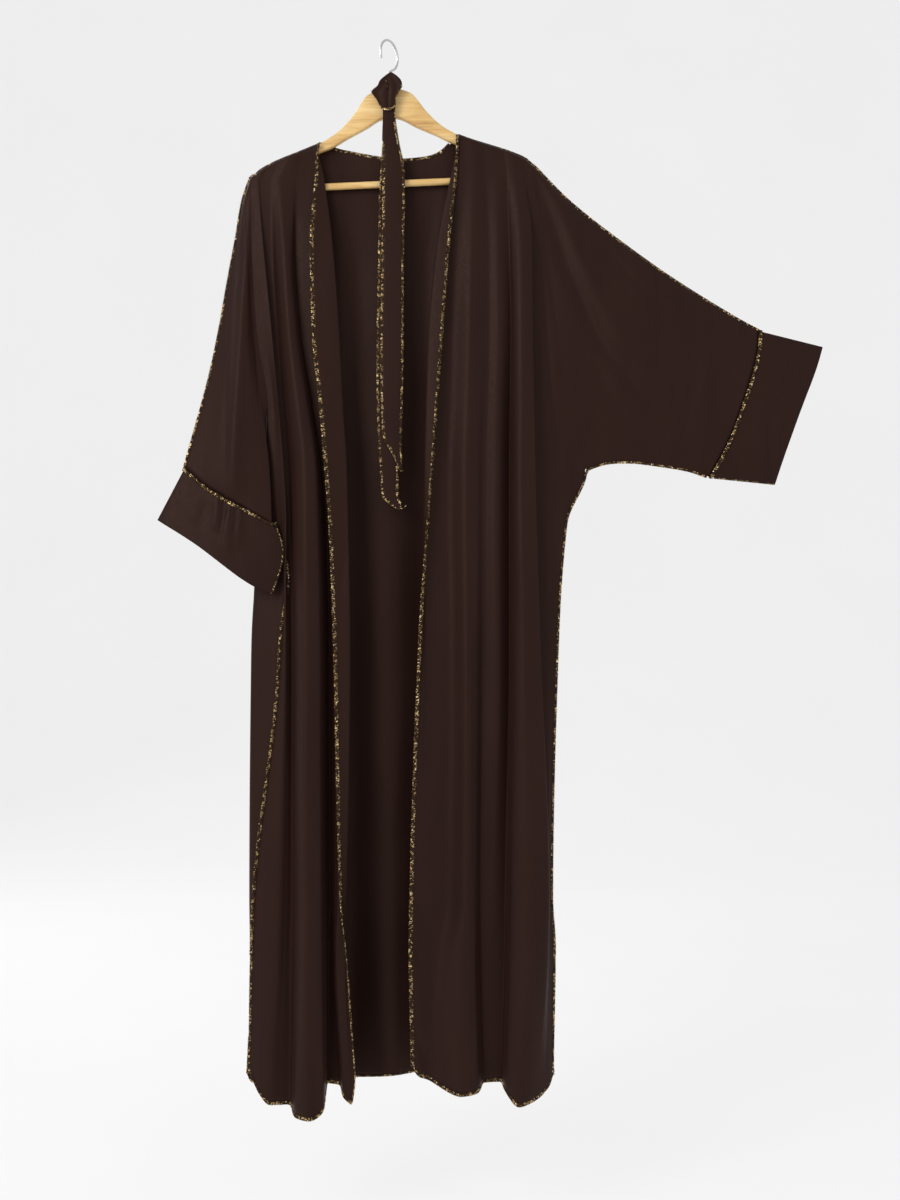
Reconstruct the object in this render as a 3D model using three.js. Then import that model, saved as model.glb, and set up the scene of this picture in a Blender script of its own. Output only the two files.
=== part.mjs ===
// A kimono abaya on a wooden hanger, with its own belt hitched round the hook.
// Millimetres, +Z up, +X to the right as seen from the front, and the front faces -Y.
// The origin is the point inside the top of the hook on which everything hangs.
import * as THREE from 'three';

const { Vector3 } = THREE;

// ---------------------------------------------------------------- driving dimensions
const CLOTH = 1.2; // one layer of cloth
const SEAM_GAP = 0.3; // between pieces that are sewn together
const SEAM_OFFSET = (CLOTH + SEAM_GAP) / 2; // from a seam to the middle of the layer on each side of it
const TRIM_WIDTH = 6; // overlocked edge
const NARROW_TRIM = 4.5; // neck and side seams
const BACK_HEM_TRIM = 3;
const TRIM_THICKNESS = 1.4;
const BELT_CLOTH = 1.6; // two layers sewn together

const HANGER = { centre: 4.5, pivot: -150, halfSpan: 205.5, thickness: 12, tilt: THREE.MathUtils.degToRad(2.6) };
const BAR = { radius: 5.8, drop: 213, halfLength: 186 };
const HOOK = { radius: 20.25, wire: 1.75, turn: THREE.MathUtils.degToRad(57), stem: 1, foot: -70.1 };

const YOKE_DROP = 203; // level just under the hanger, at its middle
const LEVEL_DROP = [305, 435, 546, 641, 721, 896, 1281, 1355]; // chest to the top of the side slits
const LEVEL = { yoke: 1, ribs: 4, underarm: 5, waist: 6, slit: 9 };
const ROLL_OVER = 5; // height over which the cloth turns from the hanger's top to its face

// Grid rows of every panel, counted in levels. The side slits stand open from the row SLIT_OPEN.
const SLIT_OPEN = 9.12;
const ROWS = [0, 0.02, 0.06, 0.18, 0.45, 1, 1.5, 2, 2.5, 3, 3.5, 4, 5, 6, 6.5, 7, 7.25, 7.5, 7.75, 8, 9, SLIT_OPEN, 9.35, 9.7, 10];

// Each fold of a panel: across = X at yoke, chest, bust, ribs, underarm, waist, hip, shin and slit;
// forward = distance towards the viewer at the same levels; top = X on the shoulder seam;
// hem = [across, forward, drop]; steps = grid columns from this fold to the next one.
const FRONT_LEFT_FOLDS = [
  { fold: 'edge', steps: 3, top: 106, across: [103, 92, 82, 74, 67, 61, 50, 37, 36],
    forward: [11, 24, 30, 32, 34, 36, 37, 38, 38], hem: [39, 36, 1528] },
  { fold: 'turn', steps: 3, top: 109, across: [95, 74, 61, 57, 55, 54, 56, 44, 43],
    forward: [9, 19, 24, 26, 27, 28, 30, 35, 35], hem: [46, 34, 1537] },
  { fold: 'valley 0', steps: 2, top: 114, across: [111, 101, 94, 91, 88, 88, 91, 86, 75],
    forward: [8.5, 14, 15, 16, 16, 17, 20, 24, 26], hem: [62, 30, 1544] },
  { fold: 'ridge 1', steps: 2, top: 126, across: [128, 125, 122, 119, 116, 116, 117, 116, 107],
    forward: [9.5, 20, 26, 28, 30, 32, 36, 42, 43], hem: [107, 44, 1564] },
  { fold: 'wall 1', steps: 1, top: 134, across: [137, 138, 137, 134, 131, 131, 131, 130, 129],
    forward: [9.2, 19, 24.5, 26.5, 28, 29, 31, 34, 36], hem: [134, 37, 1560] },
  { fold: 'valley 1', steps: 2, top: 141, across: [146, 149, 150, 147, 144, 144, 144, 138, 138],
    forward: [8.5, 16, 20, 21, 21, 21, 21, 20, 20], hem: [142, 18, 1551] },
  { fold: 'ridge 2', steps: 2, top: 156, across: [161, 164, 165, 163, 162, 160, 162, 154, 153],
    forward: [9, 19, 24, 25, 26, 26, 26, 19, 16], hem: [153, 14, 1551] },
  { fold: 'valley 2', steps: 1, top: 171, across: [176, 180, 183, 182, 181, 181, 181, 175, 174],
    forward: [8.5, 13, 14, 13, 12, 12, 12, 12, 12], hem: [168, 12, 1551] },
  { fold: 'wall 3', steps: 2, top: 176, across: [180, 185, 187, 186, 185.5, 185.5, 186, 181, 180],
    forward: [9.2, 18, 24, 26, 27, 28, 29, 31, 33], hem: [174, 34, 1558] },
  { fold: 'ridge 3', steps: 2, top: 184, across: [189, 198, 199, 199, 198, 199, 202, 208, 208],
    forward: [10, 24, 32, 36, 38, 40, 42, 46, 48], hem: [194, 48, 1578] },
  { fold: 'crease', steps: 3, top: 195, across: [200, 214, 215, 217, 218, 220, 225, 239, 238],
    forward: [9.5, 22, 30, 35, 38, 39, 40, 34, 32], hem: [222, 32, 1571] },
  { fold: 'under', steps: 2, top: 203, across: [206, 211, 209, 211, 213, 216, 220, 234, 237],
    forward: [8.5, 13, 14, 16, 18, 20, 22, 24, 24], hem: [233, 24, 1563] },
  { fold: 'plane', steps: 2, top: 211, across: [212, 226, 233, 242, 249, 243, 238, 239, 241],
    forward: [8.5, 9, 9, 8, 8, 12, 14, 16, 16], hem: [240, 18, 1556] },
  { fold: 'side', steps: 0, top: 218, across: [218, 235, 253, 273, 295, 265, 252, 243, 247],
    forward: [6, 7, 7, 5, 0.75, 4, 7, 9, 9], hem: [245, 12, 1544] },
];

const FRONT_RIGHT_FOLDS = [
  { fold: 'edge', steps: 4, top: -105, across: [-105, -111, -108, -97, -89, -83, -76, -67, -62],
    forward: [12, 24, 30, 32, 34, 35, 37, 39, 40], hem: [-48, 37, 1548] },
  { fold: 'turn', steps: 4, top: -109, across: [-96, -83, -73, -67, -61, -59, -56, -61, -64],
    forward: [9.5, 19, 24, 26, 28, 30, 31, 31, 32], hem: [-54, 34, 1578] },
  { fold: 'tongue', steps: 2, top: -114, across: [-111, -111, -101, -90, -80, -77, -73, -74, -76],
    forward: [8.5, 14, 17, 18, 19, 20, 24, 28, 31], hem: [-64, 30, 1571] },
  { fold: 'valley B', steps: 1, top: -127, across: [-136, -138, -130, -113, -99, -94, -89, -87, -87],
    forward: [8.5, 11, 11, 10, 10, 9, 9, 9, 10], hem: [-84, 11, 1554] },
  { fold: 'wall B', steps: 2, top: -135, across: [-143, -143, -135, -119, -106, -103, -100, -98, -97],
    forward: [9.2, 19, 25, 28, 31, 33, 36, 40, 42], hem: [-95, 42, 1580] },
  { fold: 'ridge A', steps: 2, top: -145, across: [-162, -154, -145, -132, -121, -120, -119, -119, -119],
    forward: [10, 24, 32, 35, 38, 41, 44, 48, 50], hem: [-117, 50, 1598] },
  { fold: 'wall A', steps: 2, top: -154, across: [-170, -165, -156, -145, -136, -134, -132, -132, -132],
    forward: [9.2, 19, 25, 27, 29, 31, 33, 36, 37], hem: [-134, 38, 1592] },
  { fold: 'valley A', steps: 2, top: -163, across: [-177, -175, -166, -157, -149, -146, -143, -143, -144],
    forward: [8.5, 13, 13, 12, 12, 12, 12, 14, 15], hem: [-147, 16, 1584] },
  { fold: 'under', steps: 2, top: -177, across: [-190, -191, -181, -170, -161, -154, -149, -152, -154],
    forward: [8.5, 15, 16, 16, 17, 18, 17, 18, 19], hem: [-162, 20, 1583] },
  { fold: 'line 2', steps: 2, top: -187, across: [-195, -186, -173, -163, -155, -151, -153, -163, -165],
    forward: [9, 20, 24, 25, 26, 26, 20, 23, 24], hem: [-176, 24, 1582] },
  { fold: 'strip', steps: 2, top: -196, across: [-200, -195, -185, -171, -167, -161, -156, -182, -185],
    forward: [8.5, 18, 20, 19, 19, 18, 17, 19, 20], hem: [-190, 20, 1569] },
  { fold: 'side', steps: 0, top: -206, across: [-205, -204, -196, -179.5, -180, -170, -160, -199, -202],
    forward: [7.6, 14.5, 17.5, 17.75, 14.75, 15, 13.75, 10.75, 10.75], hem: [-207, 10, 1538] },
];

const BACK_FOLDS = [
  { fold: 'side right', steps: 2, top: -206, across: [-205, -204, -196, -179.5, -180, -170, -160, -199, -202],
    forward: [-7.6, -2.5, 4, 16.25, 13.25, 13.5, 12.25, 9.25, 9.25], hem: [-212, 0, 1545] },
  { fold: 'wrap right', steps: 3, top: -193.5, across: [-195, -196, -191, -184, -189, -201, -206, -209, -208],
    forward: [-8, -8, -5, 6, 2, -1, -4, -4, -4], hem: [-206, -12, 1562] },
  { fold: 'blade right', steps: 3, top: -150, across: [-151, -152, -152, -154, -158, -162, -164, -166, -166],
    forward: [-8.5, -15, -20, -23, -25, -28, -33, -42, -44], hem: [-166, -48, 1569] },
  { fold: 'neck right', steps: 1, top: -104, across: [-113, -114, -114, -115, -116, -118, -120, -122, -122],
    forward: [-8.5, -13, -15, -16, -17, -19, -21, -27, -29], hem: [-122, -32, 1567] },
  { fold: 'valley right', steps: 2, top: -95, across: [-97, -96, -96, -97, -98, -99, -100, -102, -102],
    forward: [-8.5, -12, -13, -14, -15, -16, -18, -23, -25], hem: [-102, -27, 1566] },
  { fold: 'rib right', steps: 2, top: -60, across: [-58, -54, -54, -54, -54, -54, -54, -55, -55],
    forward: [-9, -15, -19, -22, -23, -26, -31, -40, -42], hem: [-55, -45, 1564] },
  { fold: 'spine', steps: 2, top: 2, across: [2, 2, 2, 2, 2, 2, 2, 2, 2],
    forward: [-8.5, -12, -14, -15, -16, -17, -20, -26, -27], hem: [2, -30, 1558] },
  { fold: 'rib left', steps: 2, top: 62, across: [58, 54, 54, 54, 54, 54, 56, 58, 58],
    forward: [-9, -15, -19, -22, -23, -26, -32, -42, -44], hem: [58, -47, 1554] },
  { fold: 'valley left', steps: 1, top: 101.5, across: [98, 97, 97, 98, 99, 100, 101, 102, 102],
    forward: [-8.5, -12, -13, -14, -15, -16, -18, -23, -25], hem: [102, -28, 1550] },
  { fold: 'neck left', steps: 3, top: 106, across: [114, 116, 117, 118, 119, 119, 120, 122, 122],
    forward: [-8.5, -13, -15, -16, -17, -19, -21, -27, -29], hem: [122, -32, 1550] },
  { fold: 'blade left', steps: 3, top: 150, across: [152, 160, 166, 170, 172, 172, 172, 174, 174],
    forward: [-8.5, -15, -20, -23, -25, -28, -33, -43, -45], hem: [174, -48, 1550] },
  { fold: 'wrap left', steps: 2, top: 205, across: [204, 220, 236, 252, 264, 254, 245, 236, 240],
    forward: [-7.5, -10, -12, -12, -10, -9, -9, -10, -10], hem: [240, -14, 1547] },
  { fold: 'side left', steps: 0, top: 218, across: [218, 235, 253, 273, 295, 265, 252, 243, 247],
    forward: [-6, -6, -6, -4, -0.75, 2.5, 5.5, 7.5, 7.5], hem: [247, -4, 1544] },
];

// The back neck edge dips below the shoulders: drop at each X.
const NECK = { from: -101, to: 103, across: [-95, -82, -47, -13, 17, 54, 74, 90, 101.5],
  drop: [148, 159, 167, 173, 176, 173, 167, 154, 136.5] };

// Sleeve seams run from the body to the cuff: rows of [across, drop, forward].
const SLEEVE_LEFT = {
  overarm: [[270, 240, 0], [347, 301, 0], [432, 361, 0], [530, 421, 0], [555, 434, 0]],
  underarm: [[325, 631, 0], [362, 629, 0], [407, 634, 0], [452, 642, 0], [481, 652, 0]],
  cuffSeam: [[552, 465, 0], [541, 508, 0], [526, 552, 0], [508, 600, 0]],
  depth: 12,
  ridge: { start: 0.3, end: 0.55, height: 4, width: 0.35 },
};
const SLEEVE_RIGHT = {
  overarm: [[-217, 237, 1], [-227, 297, 3], [-238, 357, 5], [-251, 432, 7], [-266, 504, 9], [-303, 640, 12]],
  underarm: [[-181.5, 580, 20], [-180.5, 604, 23], [-176.5, 640, 25], [-174, 680, 26], [-172.5, 723, 27]],
  cuffSeam: [[-276, 664, 14], [-240, 687, 18], [-207, 704, 22]],
  depth: 9,
  ridge: { start: 0.12, end: 0.45, height: 13, width: 0.3 },
};
const SLEEVE_COLUMNS = 10;

// Opening edge of each cuff, overarm corner first: [across, drop, forward].
const CUFF_LEFT_OPENING = [[651, 458, 0], [640, 492, 0], [616, 553, 0], [592, 622, 0], [580, 662, 0]];
const CUFF_RIGHT_OPENING = [[-344, 718, 12], [-286, 754, 15], [-204, 814, 22], [-174, 827, 25]];

// The two hanging ends of the belt: [across, half width, drop, forward].
const BELT_SHORT = [[-3, 19.5, 70.1, 12.5], [-1, 13, 79, 15], [1, 7.5, 92, 15.5], [2, 9, 110, 14.5], [5, 15, 150, 14], [6, 20, 200, 14], [4.5, 20.5, 300, 14],
  [2.5, 18, 420, 14], [2, 17, 560, 14], [5, 16.5, 585, 14], [15, 8, 618, 14], [19, 2.5, 642, 14]];
const BELT_LONG = [[0, 9, 72, 10.8], [0, 6.5, 94, 13.4], [1, 9, 116, 12.2], [1, 15, 155, 11.8], [1.5, 20, 205, 11.7],
  [0, 20.5, 300, 11.7], [-1, 19, 420, 11.7], [0, 18, 600, 11.7], [3, 17, 652, 11.7], [7, 13, 680, 11.7], [16, 7, 697, 11.7]];
const BELT_STEPS = 26;
const BELT_CROWN = 0.4; // how far the middle of each end stands forward of its edges

// ---------------------------------------------------------------- curves
// Hermite curve through (knots[i], values[i]) that never swings past its own points.
function smooth(knots, values, at) {
  const last = knots.length - 1;
  let i = 0;
  while (i < last - 1 && at > knots[i + 1]) i += 1;
  const grade = (k) => (values[k + 1] - values[k]) / (knots[k + 1] - knots[k]);
  const slope = (k) => {
    if (k === 0) return grade(0);
    if (k === last) return grade(last - 1);
    const product = grade(k - 1) * grade(k);
    return product <= 0 ? 0 : (2 * product) / (grade(k - 1) + grade(k));
  };
  const span = knots[i + 1] - knots[i];
  const t = THREE.MathUtils.clamp((at - knots[i]) / span, 0, 1);
  const rise = values[i + 1] - values[i];
  const startSlope = slope(i) * span;
  const endSlope = slope(i + 1) * span;
  return values[i] + t * startSlope + t * t * (3 * rise - 2 * startSlope - endSlope)
    + t * t * t * (startSlope + endSlope - 2 * rise);
}

const mix = THREE.MathUtils.lerp;
const place = ([across, drop, forward]) => new Vector3(across, -forward, -drop);
const curveThrough = (points) => new THREE.CatmullRomCurve3(points, false, 'centripetal');

// ---------------------------------------------------------------- hanger outline
// Height of the wood's upper and lower edge at a distance from its middle, before it is tilted.
const WOOD_TOP = { out: [0, 10, 22, 34, 43, 52, 64, 78, 92, 106, 198, 205.5],
  height: [-70.5, -70.8, -74, -80, -91, -104, -118, -131, -140, -148, -187, -194] };
const WOOD_FOOT = { out: [0, 14, 38, 65, 90, 110, 165, 186.3, 188, 199, 205.5],
  height: [-114, -117, -130, -143, -156, -163, -186, -198, -223, -219, -204] };
const woodTop = (across) => {
  let height = HANGER.pivot;
  let out = 0;
  for (let pass = 0; pass < 4; pass += 1) {
    out = (across - HANGER.centre + (height - HANGER.pivot) * Math.sin(HANGER.tilt)) / Math.cos(HANGER.tilt);
    height = smooth(WOOD_TOP.out, WOOD_TOP.height, Math.min(Math.abs(out), HANGER.halfSpan));
  }
  return HANGER.pivot + out * Math.sin(HANGER.tilt) + (height - HANGER.pivot) * Math.cos(HANGER.tilt);
};
const SHOULDER_LIFT = 1.9; // from the wood to the middle of the cloth on it
const END_SLOPE = 0.75; // how the seam falls past the wood's ends
const shoulderDrop = (across) => {
  const beyond = Math.max(0, Math.abs(across - HANGER.centre) - HANGER.halfSpan - 1.5);
  return -woodTop(across) - SHOULDER_LIFT + beyond * END_SLOPE;
};

// ---------------------------------------------------------------- panels
// Where a fold is at one row of the grid.
function foldPoint(fold, row, front) {
  const yoke = { across: fold.across[0], drop: YOKE_DROP - Math.tan(HANGER.tilt) * fold.across[0] };
  if (row >= LEVEL.yoke) {
    const drops = [yoke.drop, ...LEVEL_DROP, fold.hem[2]];
    const index = Math.min(Math.floor(row) - 1, drops.length - 2);
    const drop = mix(drops[index], drops[index + 1], row - 1 - index);
    const across = smooth(drops, [...fold.across, fold.hem[0]], drop);
    const forward = smooth(drops, [...fold.forward, fold.hem[1]], drop);
    return [across, drop, forward];
  }
  const inNeck = !front && fold.top > NECK.from && fold.top < NECK.to;
  const topDrop = inNeck ? smooth(NECK.across, NECK.drop, fold.top) : shoulderDrop(fold.top);
  const topForward = inNeck ? -8.5 : (front ? SEAM_OFFSET : -SEAM_OFFSET);
  const drop = mix(topDrop, yoke.drop, row);
  const turned = Math.min(1, (drop - topDrop) / ROLL_OVER);
  const roll = Math.sqrt(1 - (1 - turned) ** 2);
  return [mix(fold.top, yoke.across, row), drop, mix(topForward, fold.forward[0], roll)];
}

// Folds with the columns between them filled in.
function columnsOf(folds) {
  const places = folds.flatMap((fold, i) => Array.from({ length: fold.steps }, (_, k) => i + k / fold.steps));
  places.push(folds.length - 1);
  const counts = folds.map((_, i) => i);
  return places.map((at) => {
    const between = (pick) => smooth(counts, folds.map(pick), at);
    return {
      top: between((fold) => fold.top),
      across: folds[0].across.map((_, level) => between((fold) => fold.across[level])),
      forward: folds[0].forward.map((_, level) => between((fold) => fold.forward[level])),
      hem: [0, 1, 2].map((axis) => between((fold) => fold.hem[axis])),
    };
  });
}

// Grid of points of a panel's body: one line of points for each row.
const bodyGrid = (folds, front) => {
  const columns = columnsOf(folds);
  return ROWS.map((row) => columns.map((column) => place(foldPoint(column, row, front))));
};

// Sleeve between the body's side line and the cuff seam. side = 1 for the front wall and -1 for the back.
// Row 0 is the overarm seam and the last row the underarm seam; the first column is the body's side line.
function sleeveGrid(sleeve, inner, side) {
  const layer = new Vector3(0, -side * SEAM_OFFSET, 0);
  const seam = (start, rows) => curveThrough([start, ...rows.map((row) => place(row).add(layer))]);
  const overarm = seam(inner[0], sleeve.overarm);
  const underarm = seam(inner[inner.length - 1], sleeve.underarm);
  const cuffEnds = [sleeve.overarm.at(-1), sleeve.underarm.at(-1)].map(place);
  const cuff = curveThrough([cuffEnds[0], ...sleeve.cuffSeam.map(place), cuffEnds[1]]);
  const last = inner.length - 1;
  const innerShare = inner.map((point) => (inner[0].z - point.z) / (inner[0].z - inner[last].z));
  return inner.map((start, row) => {
    const outerShare = 0.5 - 0.5 * Math.cos((Math.PI * row) / last);
    const outer = cuff.getPointAt(outerShare).add(layer);
    outer.y -= side * sleeve.depth * Math.sin(Math.PI * outerShare) ** 0.7;
    return Array.from({ length: SLEEVE_COLUMNS + 1 }, (_, column) => {
      const u = column / SLEEVE_COLUMNS;
      const v = mix(innerShare[row], outerShare, u);
      if (column === 0) return start.clone();
      const point = start.clone().lerp(outer, u);
      point.add(overarm.getPointAt(u).sub(inner[0].clone().lerp(overarm.getPointAt(1), u)).multiplyScalar(1 - v));
      point.add(underarm.getPointAt(u).sub(inner[last].clone().lerp(underarm.getPointAt(1), u)).multiplyScalar(v));
      const { start: from, end: to, height, width } = sleeve.ridge;
      const offRidge = (v - mix(from, to, u)) / width;
      point.y -= side * height * Math.exp(-offRidge * offRidge) * Math.sin(Math.PI * v) * Math.sin(Math.PI * u) ** 0.6;
      return point;
    });
  });
}

// ---------------------------------------------------------------- sheets and walls
// A sheet is a list of points and the quads between them; a ring's rows close on themselves.
function sheetFromRows(rows, ring = false) {
  const width = rows[0].length;
  const quads = [];
  for (let row = 0; row + 1 < rows.length; row += 1) {
    for (let column = 0; column < (ring ? width : width - 1); column += 1) {
      const next = (column + 1) % width;
      quads.push([row * width + column, row * width + next, (row + 1) * width + next, (row + 1) * width + column]);
    }
  }
  return { points: rows.flat(), quads };
}

// Joins two sheets along the points that they share.
function joinSheets(first, second, turned = false) {
  const key = (point) => point.toArray().map((value) => value.toFixed(4)).join();
  const index = new Map(first.points.map((point, i) => [key(point), i]));
  const points = [...first.points];
  const renumber = second.points.map((point) => {
    if (!index.has(key(point))) {
      index.set(key(point), points.length);
      points.push(point);
    }
    return index.get(key(point));
  });
  const added = second.quads.map((quad) => quad.map((i) => renumber[i]));
  return { points, quads: [...first.quads, ...(turned ? added.map((quad) => quad.reverse()) : added)] };
}

function normalsOf({ points, quads }) {
  const normals = points.map(() => new Vector3());
  quads.forEach(([a, b, c, d]) => {
    const across = points[c].clone().sub(points[a]);
    const normal = across.cross(points[d].clone().sub(points[b]));
    [a, b, c, d].forEach((i) => normals[i].add(normal));
  });
  return normals.map((normal) => normal.normalize());
}

const movedOut = (sheet, distance) => {
  const normals = normalsOf(sheet);
  return { ...sheet, points: sheet.points.map((point, i) => point.clone().addScaledVector(normals[i], distance)) };
};

function signedVolume(positions, triangles) {
  const corner = (i) => new Vector3(...positions[i].toArray());
  return triangles.reduce((sum, [a, b, c]) => sum + corner(a).dot(corner(b).cross(corner(c))) / 6, 0);
}

// Closed wall of the given thickness whose middle is the sheet.
function wall(sheet, thickness) {
  const normals = normalsOf(sheet);
  const count = sheet.points.length;
  const faces = [1, -1].map((side) => sheet.points.map((point, i) => (
    point.clone().addScaledVector(normals[i], (side * thickness) / 2))));
  const positions = faces.flat();
  const triangles = [];
  const addQuad = (a, b, c, d) => triangles.push([a, b, c], [a, c, d]);
  const open = new Map();
  sheet.quads.forEach((quad) => {
    addQuad(...quad);
    const [a, b, c, d] = quad.map((i) => i + count);
    triangles.push([c, b, a], [d, c, a]); // the same diagonal as the other face
    quad.forEach((from, k) => {
      const to = quad[(k + 1) % 4];
      const back = `${to},${from}`;
      if (open.has(back)) open.delete(back);
      else open.set(`${from},${to}`, [from, to]);
    });
  });
  open.forEach(([from, to]) => addQuad(to, from, from + count, to + count));
  if (signedVolume(positions, triangles) < 0) triangles.forEach((triangle) => triangle.reverse());
  const geometry = new THREE.BufferGeometry();
  geometry.setAttribute('position', new THREE.Float32BufferAttribute(positions.flatMap((p) => p.toArray()), 3));
  geometry.setIndex(triangles.flat());
  geometry.computeVertexNormals();
  return geometry;
}

// ---------------------------------------------------------------- overlocked trims
// Strip that continues the cloth past a line of points, along a direction given for each point.
function trim(line, outward, width = () => TRIM_WIDTH, gap = SEAM_GAP) {
  const near = line.map((point, i) => point.clone().addScaledVector(outward(i), gap));
  const far = line.map((point, i) => point.clone().addScaledVector(outward(i), gap + width(i / (line.length - 1))));
  return wall(sheetFromRows([near, far]), TRIM_THICKNESS);
}

// Outward direction at each point of an edge, away from the next line of points inside the panel.
const awayFrom = (edge, inside) => edge.map((point, i) => point.clone().sub(inside[i]).normalize());

// Direction at right angles to a line that lies in the XZ plane.
const sideways = (line, turn) => line.map((_, i) => {
  const from = line[Math.max(0, i - 1)];
  const to = line[Math.min(line.length - 1, i + 1)];
  return new Vector3(turn * (from.z - to.z), 0, turn * (to.x - from.x)).normalize();
});

// ---------------------------------------------------------------- cloth pieces
const columnOf = (grid, column) => grid.map((row) => row.at(column));
const rowsTo = (level) => ROWS.indexOf(level) + 1;

const frontLeftBody = bodyGrid(FRONT_LEFT_FOLDS, true);
const frontRightBody = bodyGrid(FRONT_RIGHT_FOLDS, true);
const backBody = bodyGrid(BACK_FOLDS, false);

const frontLeftSleeve = sleeveGrid(SLEEVE_LEFT, columnOf(frontLeftBody, -1).slice(0, rowsTo(LEVEL.underarm)), 1);
const frontRightSleeve = sleeveGrid(SLEEVE_RIGHT, columnOf(frontRightBody, -1).slice(0, rowsTo(LEVEL.ribs)), 1);
const backLeftSleeve = sleeveGrid(SLEEVE_LEFT, columnOf(backBody, -1).slice(0, rowsTo(LEVEL.underarm)), -1);
const backRightSleeve = sleeveGrid(SLEEVE_RIGHT, columnOf(backBody, 0).slice(0, rowsTo(LEVEL.ribs)), -1);

const frontLeft = joinSheets(sheetFromRows(frontLeftBody), sheetFromRows(frontLeftSleeve));
const frontRight = joinSheets(sheetFromRows(frontRightBody), sheetFromRows(frontRightSleeve));
const back = joinSheets(
  joinSheets(sheetFromRows(backBody), sheetFromRows(backLeftSleeve)),
  sheetFromRows(backRightSleeve),
  true,
);

// A cuff is a flat open tube. Each ring goes down its front and up its back.
const CUFF_SIDES = 11;
const CUFF_LENGTHS = [0, 0.33, 0.66, 1];

function cuffRing(line, middle, depth) {
  const walls = [1, -1].map((side) => Array.from({ length: CUFF_SIDES + 1 }, (_, k) => {
    const share = 0.5 - 0.5 * Math.cos((Math.PI * k) / CUFF_SIDES);
    const point = line.getPointAt(share);
    point.y = middle(share) - side * (SEAM_OFFSET + depth * Math.sin(Math.PI * share) ** 0.7);
    return point;
  }));
  return [...walls[0], ...walls[1].reverse()];
}

function cuffRows(sleeve, opening, depth) {
  const seamPoints = [sleeve.overarm.at(-1), ...sleeve.cuffSeam, sleeve.underarm.at(-1)].map(place);
  const seam = curveThrough(seamPoints);
  const end = curveThrough(opening.map(place));
  const gap = SEAM_GAP * 1.6;
  return CUFF_LENGTHS.map((length) => {
    const samples = Array.from({ length: 9 }, (_, k) => {
      const from = seam.getPointAt(k / 8);
      const to = end.getPointAt(k / 8);
      const start = gap / from.distanceTo(to);
      return from.lerp(to, mix(start, 1, length));
    });
    const line = curveThrough(samples);
    return cuffRing(line, (share) => line.getPointAt(share).y, mix(sleeve.depth, depth, length));
  });
}

const cuffLeftRows = cuffRows(SLEEVE_LEFT, CUFF_LEFT_OPENING, 12);
const cuffRightRows = cuffRows(SLEEVE_RIGHT, CUFF_RIGHT_OPENING, 13);

// Ribbon through rows of [across, half width, drop, forward].
function ribbon(rows) {
  const drops = rows.map((row) => row[2]);
  const edges = Array.from({ length: BELT_STEPS + 1 }, (_, i) => {
    const drop = mix(drops[0], drops.at(-1), i / BELT_STEPS);
    const [across, half, forward] = [0, 1, 3].map((axis) => smooth(drops, rows.map((row) => row[axis]), drop));
    return [-half, 0, half].map((side) => place([across + side, drop, forward + (side === 0 ? BELT_CROWN : 0)]));
  });
  return sheetFromRows(edges);
}

// The knot: a thick soft ring round the hook's stem. Rows of [middle X, half width, half depth, drop].
const KNOT = [[1, 4.5, 6, 49.5], [1, 9, 8.5, 52.5], [0.5, 13.5, 10.5, 56.5], [-0.5, 17.5, 12, 61.5], [-2, 20, 12.5, 66],
  [-3, 20.5, 12, 69.7]];
const KNOT_SIDES = 14;
const STEM_CLEARANCE = 0.35;
const KNOT_FORWARD = 3; // the ring sits a little in front of the stem

function beltKnot() {
  const around = (centreX, halfX, halfY, drop) => Array.from({ length: KNOT_SIDES }, (_, k) => {
    const angle = (2 * Math.PI * k) / KNOT_SIDES;
    return new Vector3(centreX + halfX * Math.cos(angle), -KNOT_FORWARD - halfY * Math.sin(angle), -drop);
  });
  const outer = KNOT.map(([middle, halfX, halfY, drop]) => around(middle, halfX, halfY, drop));
  const bore = HOOK.wire + STEM_CLEARANCE;
  const inner = KNOT.map(([, , , drop]) => around(HOOK.stem, bore, bore, drop).map((point) => point.setY(point.y + KNOT_FORWARD)));
  const rings = [...outer, ...inner.reverse()];
  const { points, quads } = sheetFromRows([...rings, rings[0]], true);
  const count = rings.length * KNOT_SIDES;
  const triangles = quads.flatMap((quad) => {
    const [a, b, c, d] = quad.map((i) => i % count);
    return [[a, b, c], [a, c, d]];
  });
  if (signedVolume(points, triangles) < 0) triangles.forEach((triangle) => triangle.reverse());
  const geometry = new THREE.BufferGeometry();
  const corners = points.slice(0, count).flatMap((point) => point.toArray());
  geometry.setAttribute('position', new THREE.Float32BufferAttribute(corners, 3));
  geometry.setIndex(triangles.flat());
  geometry.computeVertexNormals();
  return geometry;
}

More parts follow.
